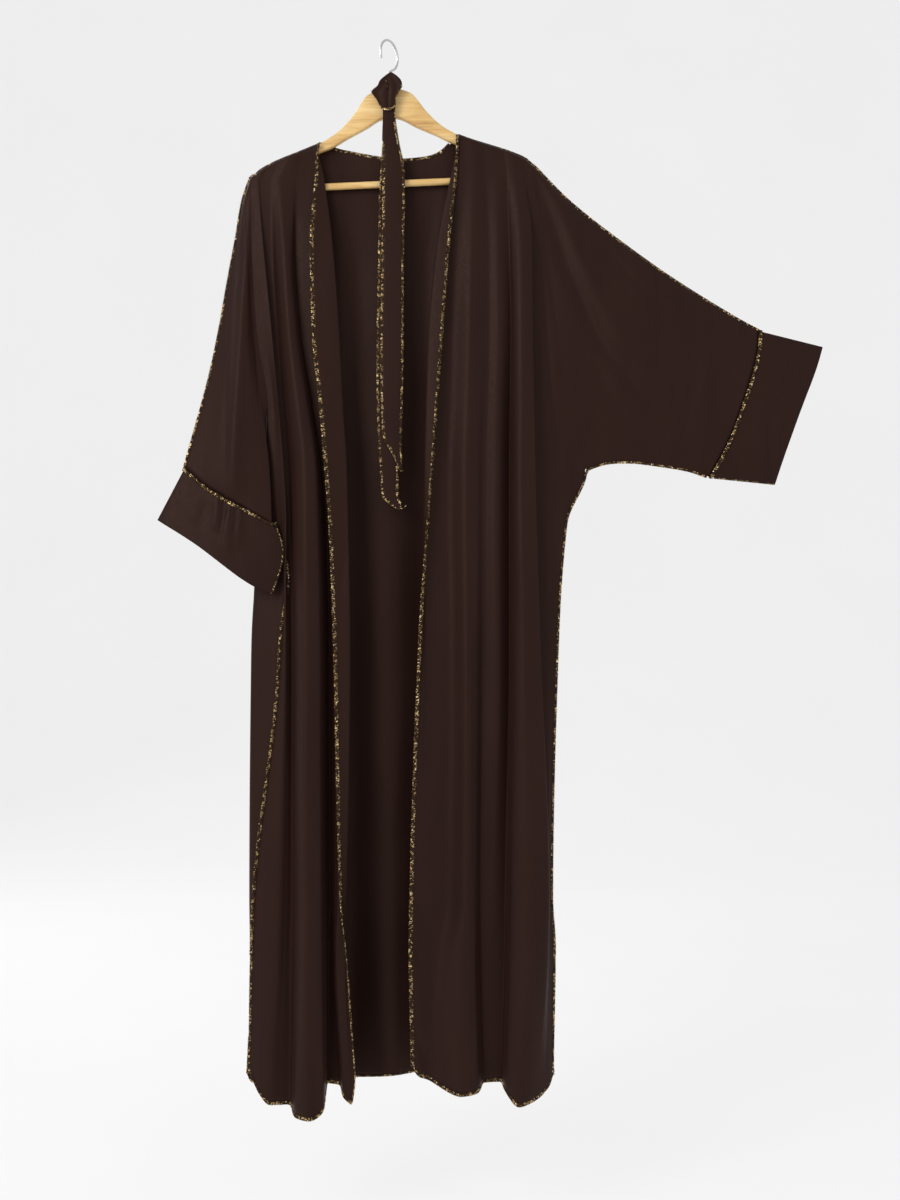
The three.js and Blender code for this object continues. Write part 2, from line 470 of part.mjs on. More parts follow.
// ---------------------------------------------------------------- hanger
function hangerBody() {
  const steps = 60;
  const half = Array.from({ length: steps + 1 }, (_, i) => (HANGER.halfSpan * i) / steps);
  const outs = [...new Set([...half, ...WOOD_FOOT.out])].sort((a, b) => a - b).filter((out) => out <= HANGER.halfSpan);
  const along = ({ out, height }, at) => new THREE.Vector2(at, smooth(out, height, at));
  const coarse = outs.filter((out, i) => i % 3 === 0 || WOOD_FOOT.out.includes(out));
  const rightTop = coarse.map((out) => along(WOOD_TOP, out));
  const rightFoot = WOOD_FOOT.out.map((out, i) => new THREE.Vector2(out, WOOD_FOOT.height[i]));
  const mirror = (points) => points.map((point) => new THREE.Vector2(-point.x, point.y));
  const outline = [...rightTop, ...[...rightFoot].reverse(), ...mirror(rightFoot).slice(1), ...mirror(rightTop).reverse()];
  const bevel = 3;
  const shape = new THREE.Shape(outline.filter((point, i) => i === 0 || point.distanceTo(outline[i - 1]) > 0.01));
  const geometry = new THREE.ExtrudeGeometry(shape, {
    depth: HANGER.thickness - 2 * bevel, bevelEnabled: true, bevelSize: bevel, bevelThickness: bevel,
    bevelOffset: -bevel, bevelSegments: 2, steps: 1, curveSegments: 6,
  });
  geometry.translate(0, 0, bevel - HANGER.thickness / 2);
  geometry.rotateX(Math.PI / 2);
  geometry.translate(0, 0, -HANGER.pivot);
  return geometry;
}

const HOOK_WIDENING = 1.09; // the wire's middle line, outside the radius that the rail fits
function hook() {
  const middleOfWire = HOOK.radius * HOOK_WIDENING;
  const onLoop = (angle) => [middleOfWire * Math.cos(angle), middleOfWire * Math.sin(angle) - HOOK.radius];
  const degrees = [205, 190, 170, 150, 130, 110, 90, 70, 50, 30, 10, -10, -30, -50];
  const loop = degrees.map((angle) => onLoop(THREE.MathUtils.degToRad(angle)));
  const stem = [[7.5, -41], [2, -44.6], [0, -48.4], [0, -53], [0, -62], [0, HOOK.foot]];
  const points = [...loop, ...stem].map(([out, z]) => (
    new Vector3(HOOK.stem + out * Math.cos(HOOK.turn), out * Math.sin(HOOK.turn), z)));
  const section = new THREE.Shape(new THREE.EllipseCurve(0, 0, HOOK.wire, HOOK.wire).getPoints(8).slice(0, -1));
  return new THREE.ExtrudeGeometry(section, { extrudePath: curveThrough(points), steps: 46, bevelEnabled: false });
}

// ---------------------------------------------------------------- materials
const finish = (color, roughness, metalness = 0) => new THREE.MeshStandardMaterial({ color, roughness, metalness });
const CLOTH_FINISH = finish(0x2b1c1a, 0.6);
const TRIM_FINISH = finish(0x8a6a35, 0.4, 0.4);
const WOOD_FINISH = finish(0xe8c88e, 0.5);
const STEEL_FINISH = finish(0xb8b8ba, 0.25, 1);

const model = new THREE.Group();
function add(name, geometry, material, parent = model) {
  const mesh = new THREE.Mesh(geometry, material);
  mesh.name = name;
  parent.add(mesh);
  return mesh;
}

// ---------------------------------------------------------------- assembly
add('back', wall(back, CLOTH), CLOTH_FINISH);
add('front_right', wall(frontRight, CLOTH), CLOTH_FINISH);
add('front_left', wall(frontLeft, CLOTH), CLOTH_FINISH);
add('cuff_right', wall(sheetFromRows(cuffRightRows, true), CLOTH), CLOTH_FINISH);
add('cuff_left', wall(sheetFromRows(cuffLeftRows, true), CLOTH), CLOTH_FINISH);
add('belt_tail_short', wall(ribbon(BELT_SHORT), BELT_CLOTH), CLOTH_FINISH);
add('belt_tail_long', wall(ribbon(BELT_LONG), BELT_CLOTH), CLOTH_FINISH);
add('belt_knot', beltKnot(), CLOTH_FINISH);

const sameWay = (list) => (i) => list[i];
const CURVED_GAP = 0.8; // beside a trim on a tightly curved edge
const EDGE_START = 0.45; // row at which the front edges' trims start, clear of the shoulder seam

// Back neck edge, between the two shoulder seams.
const neckLine = backBody[0].filter((point) => point.x > NECK.from + 8 && point.x < NECK.to - 8);
add('trim_neck', trim(neckLine, sameWay(sideways(neckLine, 1)), () => NARROW_TRIM), TRIM_FINISH);

// Turned-out front edges.
[['trim_front_edge_right', frontRightBody], ['trim_front_edge_left', frontLeftBody]].forEach(([name, body]) => {
  const start = ROWS.indexOf(EDGE_START);
  const edge = columnOf(body, 0).slice(start);
  const outward = sameWay(awayFrom(edge, columnOf(body, 1).slice(start)));
  add(name, trim(edge, outward, () => TRIM_WIDTH, CURVED_GAP), TRIM_FINISH);
});

// Shoulder and overarm seams, on the line between front and back.
[['trim_overarm_right', frontRightBody, frontRightSleeve, -1], ['trim_overarm_left', frontLeftBody, frontLeftSleeve, 1]]
  .forEach(([name, body, sleeve, turn]) => {
    const line = [...body[0].slice(3, -1), ...sleeve[0].slice(0, -1)];
    const seam = line.map((point) => point.clone().setY(point.y + SEAM_OFFSET));
    const width = (share) => mix(2.5, 5, Math.min(1, share * 2));
    add(name, trim(seam, sameWay(sideways(seam, turn)), width), TRIM_FINISH);
  });

// Underarm and side seams.
const slitEnd = rowsTo(LEVEL.slit);
const underarmRow = ROWS.indexOf(LEVEL.underarm);
{
  const seamOf = (points) => points.map((point) => point.clone().setY(point.y + SEAM_OFFSET));
  const under = seamOf([...frontLeftSleeve.at(-1)].reverse().slice(1, -1));
  const side = seamOf(columnOf(frontLeftBody, -1).slice(underarmRow, slitEnd));
  const line = [...under, ...side];
  add('trim_side_left', trim(line, sameWay(sideways(line, 1)), () => NARROW_TRIM), TRIM_FINISH);
}
{
  const body = columnOf(frontRightBody, -1).slice(ROWS.indexOf(LEVEL.waist), slitEnd);
  add('trim_side_right', trim(body, () => new Vector3(-0.97, -0.24, 0), () => 5, 1), TRIM_FINISH);
}

// Bands over the cuff seams.
[['trim_cuff_seam_right', cuffRightRows], ['trim_cuff_seam_left', cuffLeftRows]].forEach(([name, rows]) => {
  const band = [0.02, 0.17].map((share) => rows[0].map((point, k) => point.clone().lerp(rows[1][k], share)));
  const sheet = sheetFromRows(band, true);
  const lift = (CLOTH + TRIM_THICKNESS) / 2 + SEAM_GAP * 1.5;
  const normals = normalsOf(sheet);
  const outward = Math.sign(normals.reduce((sum, normal, i) => sum + normal.y * Math.sign(i % rows[0].length - CUFF_SIDES - 0.5), 0));
  add(name, wall(movedOut(sheet, outward * lift), TRIM_THICKNESS), TRIM_FINISH);
});

// Hems with the edges of the side slits: down a slit, round the corner and along the hem.
function hemTrim(body, sides, width, from) {
  const first = ROWS.indexOf(from);
  const last = body.length - 1;
  const slit = (column, inside) => body.slice(first, last).map((row) => ({
    point: row.at(column), out: row.at(column).clone().sub(row.at(inside)).normalize() }));
  const end = body[0].length - 1;
  const hem = body[last].map((point, i) => {
    const out = point.clone().sub(body[last - 1][i]).normalize();
    if (i === 0 && sides.includes('first')) out.add(point.clone().sub(body[last][1]).normalize());
    if (i === end && sides.includes('last')) out.add(point.clone().sub(body[last][end - 1]).normalize());
    return { point, out };
  });
  const line = [...hem];
  if (sides.includes('first')) line.unshift(...slit(0, 1));
  if (sides.includes('last')) line.push(...slit(-1, -2).reverse());
  return trim(line.map(({ point }) => point), (i) => line[i].out, () => width, CURVED_GAP);
}
add('trim_hem_back', hemTrim(backBody, ['first', 'last'], BACK_HEM_TRIM, 9.7), TRIM_FINISH);
add('trim_hem_front_right', hemTrim(frontRightBody, ['last'], TRIM_WIDTH, SLIT_OPEN), TRIM_FINISH);
add('trim_hem_front_left', hemTrim(frontLeftBody, ['last'], TRIM_WIDTH, SLIT_OPEN), TRIM_FINISH);

// Hanger: the wood and its bar share one tilt; the hook stands plumb.
const hanger = new THREE.Group();
hanger.position.set(HANGER.centre, 0, HANGER.pivot);
hanger.rotation.y = -HANGER.tilt;
model.add(hanger);
add('hanger_body', hangerBody(), WOOD_FINISH, hanger);
const bar = add('trouser_bar', new THREE.CylinderGeometry(BAR.radius, BAR.radius, BAR.halfLength * 2, 16), WOOD_FINISH, hanger);
bar.rotation.z = Math.PI / 2;
bar.position.z = -BAR.drop - HANGER.pivot;
add('hook', hook(), STEEL_FINISH);

export default model;
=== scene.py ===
import math

import bmesh
import bpy
import numpy as np
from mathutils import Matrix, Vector


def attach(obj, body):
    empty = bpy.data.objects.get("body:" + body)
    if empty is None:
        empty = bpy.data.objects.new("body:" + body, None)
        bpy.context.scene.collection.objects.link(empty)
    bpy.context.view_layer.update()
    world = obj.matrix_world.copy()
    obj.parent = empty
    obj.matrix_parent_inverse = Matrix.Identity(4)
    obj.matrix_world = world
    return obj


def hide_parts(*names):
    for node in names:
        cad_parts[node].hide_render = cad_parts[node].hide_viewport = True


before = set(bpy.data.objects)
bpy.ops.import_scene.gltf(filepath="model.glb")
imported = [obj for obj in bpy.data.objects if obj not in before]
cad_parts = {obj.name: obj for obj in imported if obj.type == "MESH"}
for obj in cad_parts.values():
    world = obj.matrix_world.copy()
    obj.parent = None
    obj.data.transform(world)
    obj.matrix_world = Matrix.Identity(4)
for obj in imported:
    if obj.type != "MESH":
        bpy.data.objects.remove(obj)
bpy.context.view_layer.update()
MM = 0.001
rng = np.random.default_rng(7)

# ---- camera
camera_data = bpy.data.cameras.new("camera")
camera_data.lens = 48
camera_data.sensor_width = 36
camera_data.clip_end = 60
camera = bpy.data.objects.new("camera", camera_data)
camera.location = (0.09225, -2.4, -0.837)
camera.rotation_euler = (math.pi / 2, 0, 0)
bpy.context.collection.objects.link(camera)
bpy.context.scene.camera = camera

# ---- sizes
SHELL, BELT_SHELL, KNOT_SHELL = 0.9, 1.4, 1.1  # thickness of the cloth shown
SEAM_OFFSET, SEAM_GAP, SEAM_FADE = 0.75, 0.3, 16  # the creases fade within SEAM_FADE of a seam
TRIM_WIDTH, NARROW_TRIM, SIDE_TRIM, BACK_HEM_TRIM, CUFF_EDGE_TRIM = 6.0, 4.5, 5.0, 3.0, 3.5
TRIM_THICKNESS, BELT_BAND = 1.4, 1.3
PIVOT, CENTRE, HALF_SPAN = -150.0, 4.5, 205.5
WOOD_THICKNESS = 12.0
TILT = math.radians(2.6)
BAR_RADIUS, BAR_DROP, BAR_HALF = 5.2, 213.0, 186.0
HOOK_RADIUS, HOOK_WIRE, HOOK_TURN, HOOK_STEM, HOOK_FOOT = 20.25, 1.75, math.radians(57), 1.0, -70.1
YOKE_DROP = 203.0
LEVEL_DROP = [305, 435, 546, 641, 721, 896, 1281, 1355]
RIBS, UNDERARM, WAIST, SLIT, HEM = 4, 5, 6, 9, 10
ROLL_OVER = 5.0
FRONT_TRIM_FROM, SIDE_TRIM_OVERLAP, BACK_HEM_FROM = 0.06, 0.08, 9.7  # rows
CAD_ROWS = [0, 0.02, 0.06, 0.18, 0.45, 1, 1.5, 2, 2.5, 3, 3.5, 4, 5, 6, 6.5, 7, 7.25, 7.5, 7.75, 8, 9, 9.12,
            9.35, 9.7, 10]

FRONT_LEFT_FOLDS = [  # steps, top, across at each level, forward at each level, hem
    (3, 106, [103, 92, 82, 74, 67, 61, 50, 37, 36], [11, 24, 30, 32, 34, 36, 37, 38, 38], [39, 36, 1528]),
    (3, 109, [95, 74, 61, 57, 55, 54, 56, 44, 43], [9, 19, 24, 26, 27, 28, 30, 35, 35], [46, 34, 1537]),
    (2, 114, [111, 101, 94, 91, 88, 88, 91, 86, 75], [8.5, 14, 15, 16, 16, 17, 20, 24, 26], [62, 30, 1544]),
    (2, 126, [128, 125, 122, 119, 116, 116, 117, 116, 107], [9.5, 20, 26, 28, 30, 32, 36, 42, 43], [107, 44, 1564]),
    (1, 134, [137, 138, 137, 134, 131, 131, 131, 130, 129],
     [9.2, 19, 24.5, 26.5, 28, 29, 31, 34, 36], [134, 37, 1560]),
    (2, 141, [146, 149, 150, 147, 144, 144, 144, 138, 138], [8.5, 16, 20, 21, 21, 21, 21, 20, 20], [142, 18, 1551]),
    (2, 156, [161, 164, 165, 163, 162, 160, 162, 154, 153], [9, 19, 24, 25, 26, 26, 26, 19, 16], [153, 14, 1551]),
    (1, 171, [176, 180, 183, 182, 181, 181, 181, 175, 174], [8.5, 13, 14, 13, 12, 12, 12, 12, 12], [168, 12, 1551]),
    (2, 176, [180, 185, 187, 186, 185.5, 185.5, 186, 181, 180],
     [9.2, 18, 24, 26, 27, 28, 29, 31, 33], [174, 34, 1558]),
    (2, 184, [189, 198, 199, 199, 198, 199, 202, 208, 208], [10, 24, 32, 36, 38, 40, 42, 46, 48], [194, 48, 1578]),
    (3, 195, [200, 214, 215, 217, 218, 220, 225, 239, 238], [9.5, 22, 30, 35, 38, 39, 40, 34, 32], [222, 32, 1571]),
    (2, 203, [206, 211, 209, 211, 213, 216, 220, 234, 237], [8.5, 13, 14, 16, 18, 20, 22, 24, 24], [233, 24, 1563]),
    (2, 211, [212, 226, 233, 242, 249, 243, 238, 239, 241], [8.5, 9, 9, 8, 8, 12, 14, 16, 16], [240, 18, 1556]),
    (0, 218, [218, 235, 253, 273, 295, 265, 252, 243, 247], [6, 7, 7, 5, 0.75, 4, 7, 9, 9], [245, 12, 1544]),
]
FRONT_RIGHT_FOLDS = [
    (4, -105, [-105, -111, -108, -97, -89, -83, -76, -67, -62],
     [12, 24, 30, 32, 34, 35, 37, 39, 40], [-48, 37, 1548]),
    (4, -109, [-96, -83, -73, -67, -61, -59, -56, -61, -64], [9.5, 19, 24, 26, 28, 30, 31, 31, 32], [-54, 34, 1578]),
    (1, -114, [-111, -111, -101, -90, -80, -77, -73, -74, -76],
     [8.5, 14, 17, 18, 19, 20, 24, 28, 31], [-66, 29, 1569]),
    (2, -120, [-124, -125, -116, -102, -90, -86, -81, -80, -80],
     [8.5, 12, 13, 13, 13, 13, 15, 16, 18], [-72, 14, 1556]),
    (1, -127, [-136, -138, -130, -113, -99, -94, -89, -88, -89], [8.5, 11, 11, 10, 10, 9, 9, 9, 10], [-91, 10, 1554]),
    (2, -135, [-143, -143, -135, -119, -106, -103, -100, -98, -97],
     [9.2, 19, 25, 28, 31, 33, 36, 40, 42], [-94, 42, 1584]),
    (2, -145, [-162, -154, -145, -132, -121, -120, -119, -119, -119],
     [10, 24, 32, 35, 38, 41, 44, 48, 50], [-114, 50, 1598]),
    (2, -154, [-170, -165, -156, -145, -136, -134, -132, -132, -132],
     [9.2, 19, 25, 27, 29, 31, 33, 36, 37], [-136, 38, 1596]),
    (2, -163, [-177, -175, -166, -157, -149, -146, -143, -143, -144],
     [8.5, 13, 13, 12, 12, 12, 12, 14, 15], [-147, 16, 1584]),
    (2, -177, [-190, -191, -181, -170, -161, -154, -149, -152, -154],
     [8.5, 15, 16, 16, 17, 18, 17, 18, 19], [-162, 20, 1583]),
    (2, -187, [-195, -186, -173, -163, -155, -151, -153, -163, -165],
     [9, 20, 24, 25, 26, 26, 20, 23, 24], [-176, 24, 1582]),
    (2, -196, [-200, -195, -185, -171, -167, -161, -156, -182, -185],
     [8.5, 18, 20, 19, 19, 18, 17, 19, 20], [-190, 20, 1569]),
    (0, -206, [-205, -204, -196, -179.5, -180, -170, -160, -199, -202],
     [7.6, 14.5, 17.5, 17.75, 14.75, 15, 13.75, 10.75, 10.75], [-207, 10, 1538]),
]
BACK_FOLDS = [
    (2, -206, [-205, -204, -196, -179.5, -180, -170, -160, -199, -202],
     [-7.6, -2.5, 4, 16.25, 13.25, 13.5, 12.25, 9.25, 9.25], [-212, 0, 1545]),
    (3, -193.5, [-195, -196, -191, -184, -189, -201, -206, -209, -208],
     [-8, -8, -5, 6, 2, -1, -4, -4, -4], [-206, -12, 1562]),
    (3, -150, [-151, -152, -152, -154, -158, -162, -164, -166, -166],
     [-8.5, -15, -20, -23, -25, -28, -33, -42, -44], [-166, -48, 1569]),
    (1, -104, [-113, -114, -114, -115, -116, -118, -120, -122, -122],
     [-8.5, -13, -15, -16, -17, -19, -21, -27, -29], [-122, -32, 1567]),
    (2, -95, [-97, -96, -96, -97, -98, -99, -100, -102, -102],
     [-8.5, -12, -13, -14, -15, -16, -18, -23, -25], [-102, -27, 1566]),
    (2, -60, [-58, -54, -54, -54, -54, -54, -54, -55, -55],
     [-9, -15, -19, -22, -23, -26, -31, -40, -42], [-55, -45, 1564]),
    (2, 2, [2, 2, 2, 2, 2, 2, 2, 2, 2], [-8.5, -12, -14, -15, -16, -17, -20, -26, -27], [2, -30, 1558]),
    (2, 62, [58, 54, 54, 54, 54, 54, 56, 58, 58], [-9, -15, -19, -22, -23, -26, -32, -42, -44], [58, -47, 1554]),
    (1, 101.5, [98, 97, 97, 98, 99, 100, 101, 102, 102],
     [-8.5, -12, -13, -14, -15, -16, -18, -23, -25], [102, -28, 1550]),
    (3, 106, [114, 116, 117, 118, 119, 119, 120, 122, 122],
     [-8.5, -13, -15, -16, -17, -19, -21, -27, -29], [122, -32, 1550]),
    (3, 150, [152, 160, 166, 170, 172, 172, 172, 174, 174],
     [-8.5, -15, -20, -23, -25, -28, -33, -43, -45], [174, -48, 1550]),
    (2, 205, [204, 220, 236, 252, 264, 254, 245, 236, 240],
     [-7.5, -10, -12, -12, -10, -9, -9, -10, -10], [240, -14, 1547]),
    (0, 218, [218, 235, 253, 273, 295, 265, 252, 243, 247],
     [-6, -6, -6, -4, -0.75, 2.5, 5.5, 7.5, 7.5], [247, -4, 1544]),
]
NECK_FROM, NECK_TO, NECK_FORWARD = -101, 103, -8.5
NECK_ACROSS = [-95, -82, -47, -13, 17, 54, 74, 90, 101.5]
NECK_DROP = [148, 159, 167, 173, 176, 173, 167, 154, 136.5]
# Sleeves: lines of [across, drop, forward], half depths at the seam and at the opening, how far the cuff's
# underarm edge bows out, and the soft ridge: start, end, height and width.
SLEEVE_LEFT = dict(
    overarm=[[270, 240, 0], [347, 301, 0], [432, 361, 0], [530, 421, 0], [555, 434, 0]],
    underarm=[[325, 631, 0], [362, 629, 0], [407, 634, 0], [452, 642, 0], [481, 652, 0]],
    cuff_seam=[[552, 465, 0], [541, 508, 0], [526, 552, 0], [508, 600, 0]],
    opening=[[651, 458, 0], [640, 492, 0], [616, 553, 0], [592, 622, 0], [580, 662, 0]],
    depth=12, opening_depth=12, swell=0, ridge=(0.3, 0.55, 4, 0.35))
SLEEVE_RIGHT = dict(
    overarm=[[-217, 237, 1], [-227, 297, 3], [-238, 357, 5], [-251, 432, 7], [-266, 504, 9], [-303, 640, 12]],
    underarm=[[-181.5, 580, 20], [-180.5, 604, 23], [-176.5, 640, 25], [-174, 680, 26], [-172.5, 723, 27]],
    cuff_seam=[[-276, 664, 14], [-240, 687, 18], [-207, 704, 22]],
    opening=[[-344, 718, 12], [-286, 754, 15], [-204, 814, 22], [-174, 827, 25]],
    depth=9, opening_depth=13, swell=16, ridge=(0.12, 0.45, 13, 0.3))
BELT_SHORT = [  # across, half width, drop, forward
    [0, 13, 72, 13], [0.5, 10, 80, 15], [1, 8.6, 92, 15.5], [1.6, 9.4, 108, 14.6], [3.4, 12.3, 143, 14],
    [5.2, 14.3, 164, 14], [7.2, 16.6, 183, 14], [8.3, 17.6, 205, 14], [8, 18, 259, 14], [7.2, 17.8, 300, 14],
    [5.6, 18.4, 477, 14], [5.5, 17.2, 543, 14], [5.9, 15.6, 588, 14], [13.5, 8, 620, 14], [19, 3, 643, 14]]
BELT_LONG = [
    [0, 9, 72, 10.8], [0, 6.5, 94, 13.4], [1, 8.6, 116, 12.2], [2.4, 11.6, 150, 11.8], [4, 15.6, 183, 11.7],
    [4.5, 17.6, 205, 11.7], [4, 19.4, 259, 11.7], [3.4, 19.3, 300, 11.7], [1, 19.5, 477, 11.7],
    [0.6, 18.5, 543, 11.7], [0.8, 16.8, 600, 11.7], [1.4, 15, 640, 11.7], [3, 13.5, 682, 11.7],
    [8.5, 10.6, 690, 11.7], [13.8, 8, 696.5, 11.7], [15, 4.5, 700, 11.7]]
KNOT = [  # middle across, half width, half depth, drop
    [3.5, 3, 6, 49.5], [3.2, 5, 8, 52.5], [3.7, 9.8, 10.5, 56.5], [3, 15, 12, 61.5], [3, 16.5, 12.5, 66],
    [2.5, 17, 12, 69.7]]
# Outlines of the wood: distance from its middle, and height.
WOOD_TOP = ([0, 10, 22, 34, 43, 52, 64, 78, 92, 106, 198, 205.5],
            [-70.5, -70.8, -74, -80, -91, -104, -118, -131, -140, -148, -187, -194])
WOOD_FOOT = ([0, 14, 38, 65, 90, 110, 165, 186.3, 188, 199, 205.5],
             [-114, -117, -130, -143, -156, -163, -186, -198, -223, -219, -204])

# Creases, given one by one: piece, height (minus for a trough), width, points of [across, drop].
CREASES = {
    "front_left": [
        (-4.5, 11, [(218, 202), (248, 278), (267, 335), (291, 395), (318, 451), (348, 489), (372, 523),
                    (397, 547), (427, 583)]),
        (2.5, 14, [(240, 215), (275, 295), (300, 350), (325, 405), (352, 452), (384, 492), (420, 530)]),
        (-3, 9, [(307, 295), (337, 329), (364, 357), (378, 372), (418, 402), (436, 417)]),
        (-2.5, 7, [(224, 301), (234, 430), (245, 568), (254, 640), (245, 705)]),
        (-2, 5, [(38, 1348), (47, 1366), (54, 1382)]),
        (-3, 8, [(37, 1467), (53, 1511), (64, 1548)]),
        (-1.8, 9, [(300, 470), (350, 560), (395, 610)]),
        (-1.5, 8, [(470, 430), (455, 520), (440, 600)]),
        (1.6, 7, [(118, 900), (117, 1100), (112, 1350)]),
    ],
    "front_right": [
        (-1.8, 5, [(-60, 748), (-66, 790), (-69, 837)]),
        (-2.2, 6, [(-228, 300), (-232, 420), (-238, 560), (-240, 670)]),
        (5.5, 13, [(-214, 270), (-220, 420), (-225, 560), (-228, 695)]),
        (-1.6, 6, [(-208, 380), (-210, 520), (-212, 660)]),
        (-1.6, 8, [(-138, 260), (-139, 330), (-136, 400)]),
        (-2, 8, [(-118, 1480), (-105, 1530), (-92, 1550)]),
    ],
    "back": [
        (-4, 12, [(222, 215), (252, 290), (290, 385), (345, 480), (400, 545), (440, 590)]),
        (-3, 10, [(310, 300), (360, 350), (415, 400), (450, 430)]),
        (-2.4, 8, [(232, 330), (246, 500), (256, 640)]),
        (-3, 10, [(-190, 240), (-176, 340), (-165, 450), (-160, 560)]),
        (-2.2, 8, [(-212, 300), (-220, 420), (-230, 560), (-236, 660)]),
        (-2.5, 12, [(-85, 190), (-70, 330), (-64, 480)]),
        (-2.5, 12, [(90, 190), (76, 320), (70, 500)]),
        (-2, 8, [(-140, 1250), (-146, 1400), (-150, 1540)]),
        (-2.2, 9, [(30, 1200), (34, 1380), (36, 1550)]),
    ],
    "cuff_right": [
        (5.5, 3.8, [(-251, 676), (-253, 705), (-257, 735)]),
        (7.5, 4.2, [(-233, 686), (-235, 720), (-239, 765)]),
        (6.5, 3.8, [(-219, 694), (-221, 726), (-224, 762)]),
        (-3.4, 4, [(-242, 682), (-245, 725)]),
        (-3.6, 3.4, [(-226, 692), (-229, 740)]),
        (-1.6, 5, [(-268, 690), (-282, 735)]),
    ],
    "cuff_left": [
        (-1.6, 10, [(600, 470), (580, 540), (555, 610)]),
        (1.2, 12, [(625, 480), (600, 560), (570, 640)]),
    ],
}


# ---- curves
def smooth(knots, values, at):
    """Hermite curve through (knots[i], values[i]) that never swings past its own points."""
    knots, values, at = (np.asarray(a, float) for a in (knots, values, at))
    wide = (-1,) + (1,) * (values.ndim - 1)
    gaps = np.diff(knots)
    grades = np.diff(values, axis=0) / gaps.reshape(wide)
    slopes = np.empty_like(values)
    slopes[0], slopes[-1] = grades[0], grades[-1]
    product, total = grades[:-1] * grades[1:], grades[:-1] + grades[1:]
    slopes[1:-1] = np.where(product > 0, 2 * product / np.where(total == 0, 1, total), 0)
    i = np.clip(np.searchsorted(knots, at) - 1, 0, len(knots) - 2)
    t = np.clip((at - knots[i]) / gaps[i], 0, 1).reshape(wide)
    span = gaps[i].reshape(wide)
    rise = values[i + 1] - values[i]
    start, end = slopes[i] * span, slopes[i + 1] * span
    return values[i] + t * start + t * t * (3 * rise - 2 * start - end) + t ** 3 * (start + end - 2 * rise)


def place(rows):
    """[across, drop, forward] to the frame's x, y, z."""
    rows = np.atleast_2d(np.asarray(rows, float))
    return np.stack([rows[:, 0], -rows[:, 2], -rows[:, 1]], 1)


def resample(run, values, at):
    return np.stack([np.interp(at, run, values[:, k]) for k in range(values.shape[1])], 1)


class Line:
    """Centripetal curve through points, read by its share of length."""

    def __init__(self, points, detail=24):
        p = np.asarray(points, float)
        p = np.vstack([2 * p[0] - p[1], p, 2 * p[-1] - p[-2]])
        pieces = []
        for a, b, c, d in zip(p, p[1:], p[2:], p[3:]):
            gaps = [max(np.linalg.norm(v - u) ** 0.5, 1e-4) for u, v in ((a, b), (b, c), (c, d))]
            g0, g1, g2 = gaps
            m1 = ((b - a) / g0 - (c - a) / (g0 + g1) + (c - b) / g1) * g1
            m2 = ((c - b) / g1 - (d - b) / (g1 + g2) + (d - c) / g2) * g1
            t = np.linspace(0, 1, detail, endpoint=False)[:, None]
            pieces.append(b + t * m1 + t * t * (3 * (c - b) - 2 * m1 - m2) + t ** 3 * (m1 + m2 - 2 * (c - b)))
        self.points = np.vstack([*pieces, p[-2]])
        steps = np.linalg.norm(np.diff(self.points, axis=0), axis=1)
        self.run = np.concatenate([[0], np.cumsum(steps)])

    def at(self, shares):
        return resample(self.run, self.points, np.atleast_1d(shares) * self.run[-1])


def unit(vectors):
    return vectors / np.maximum(np.linalg.norm(vectors, axis=-1, keepdims=True), 1e-9)


def near_line(flat, line):
    """Distance from each [across, drop] to a line of such points, and the share along it."""
    line = np.asarray(line, float)
    best = np.full(len(flat), 1e9)
    share = np.zeros(len(flat))
    lengths = np.linalg.norm(np.diff(line, axis=0), axis=1)
    done, total = 0.0, lengths.sum()
    for a, b, length in zip(line, line[1:], lengths):
        along = np.clip(((flat - a) @ (b - a)) / length ** 2, 0, 1)
        apart = np.linalg.norm(flat - a - along[:, None] * (b - a), axis=1)
        closer = apart < best
        best[closer] = apart[closer]
        share[closer] = ((done + along * length) / total)[closer]
        done += length
    return best, share


# ---- panels
def wood_top(across):
    height = np.full_like(across, PIVOT)
    for _ in range(4):
        out = (across - CENTRE + (height - PIVOT) * math.sin(TILT)) / math.cos(TILT)
        height = smooth(*WOOD_TOP, np.minimum(np.abs(out), HALF_SPAN))
    return PIVOT + out * math.sin(TILT) + (height - PIVOT) * math.cos(TILT)


def shoulder_drop(across):
    """The cloth's top edge: close above the wood, and sloping down beyond its ends."""
    beyond = np.maximum(0, np.abs(across - CENTRE) - HALF_SPAN - 1.5)
    return -wood_top(across) - 1.9 + beyond * 0.75


ROW_STEP, COLUMN_DETAIL, SLEEVE_COLUMNS = 6.5, 4, 56  # drop from row to row, columns for each step of a fold


def fine_rows():
    rows = [np.linspace(0, 0.06, 9), np.linspace(0.06, 1, 16)[1:]]
    drops = [YOKE_DROP, *LEVEL_DROP, 1560]
    for level, (a, b) in enumerate(zip(drops, drops[1:])):
        rows.append(np.linspace(level + 1, level + 2, max(2, round((b - a) / ROW_STEP)) + 1)[1:])
    return np.concatenate(rows)


ROWS = fine_rows()


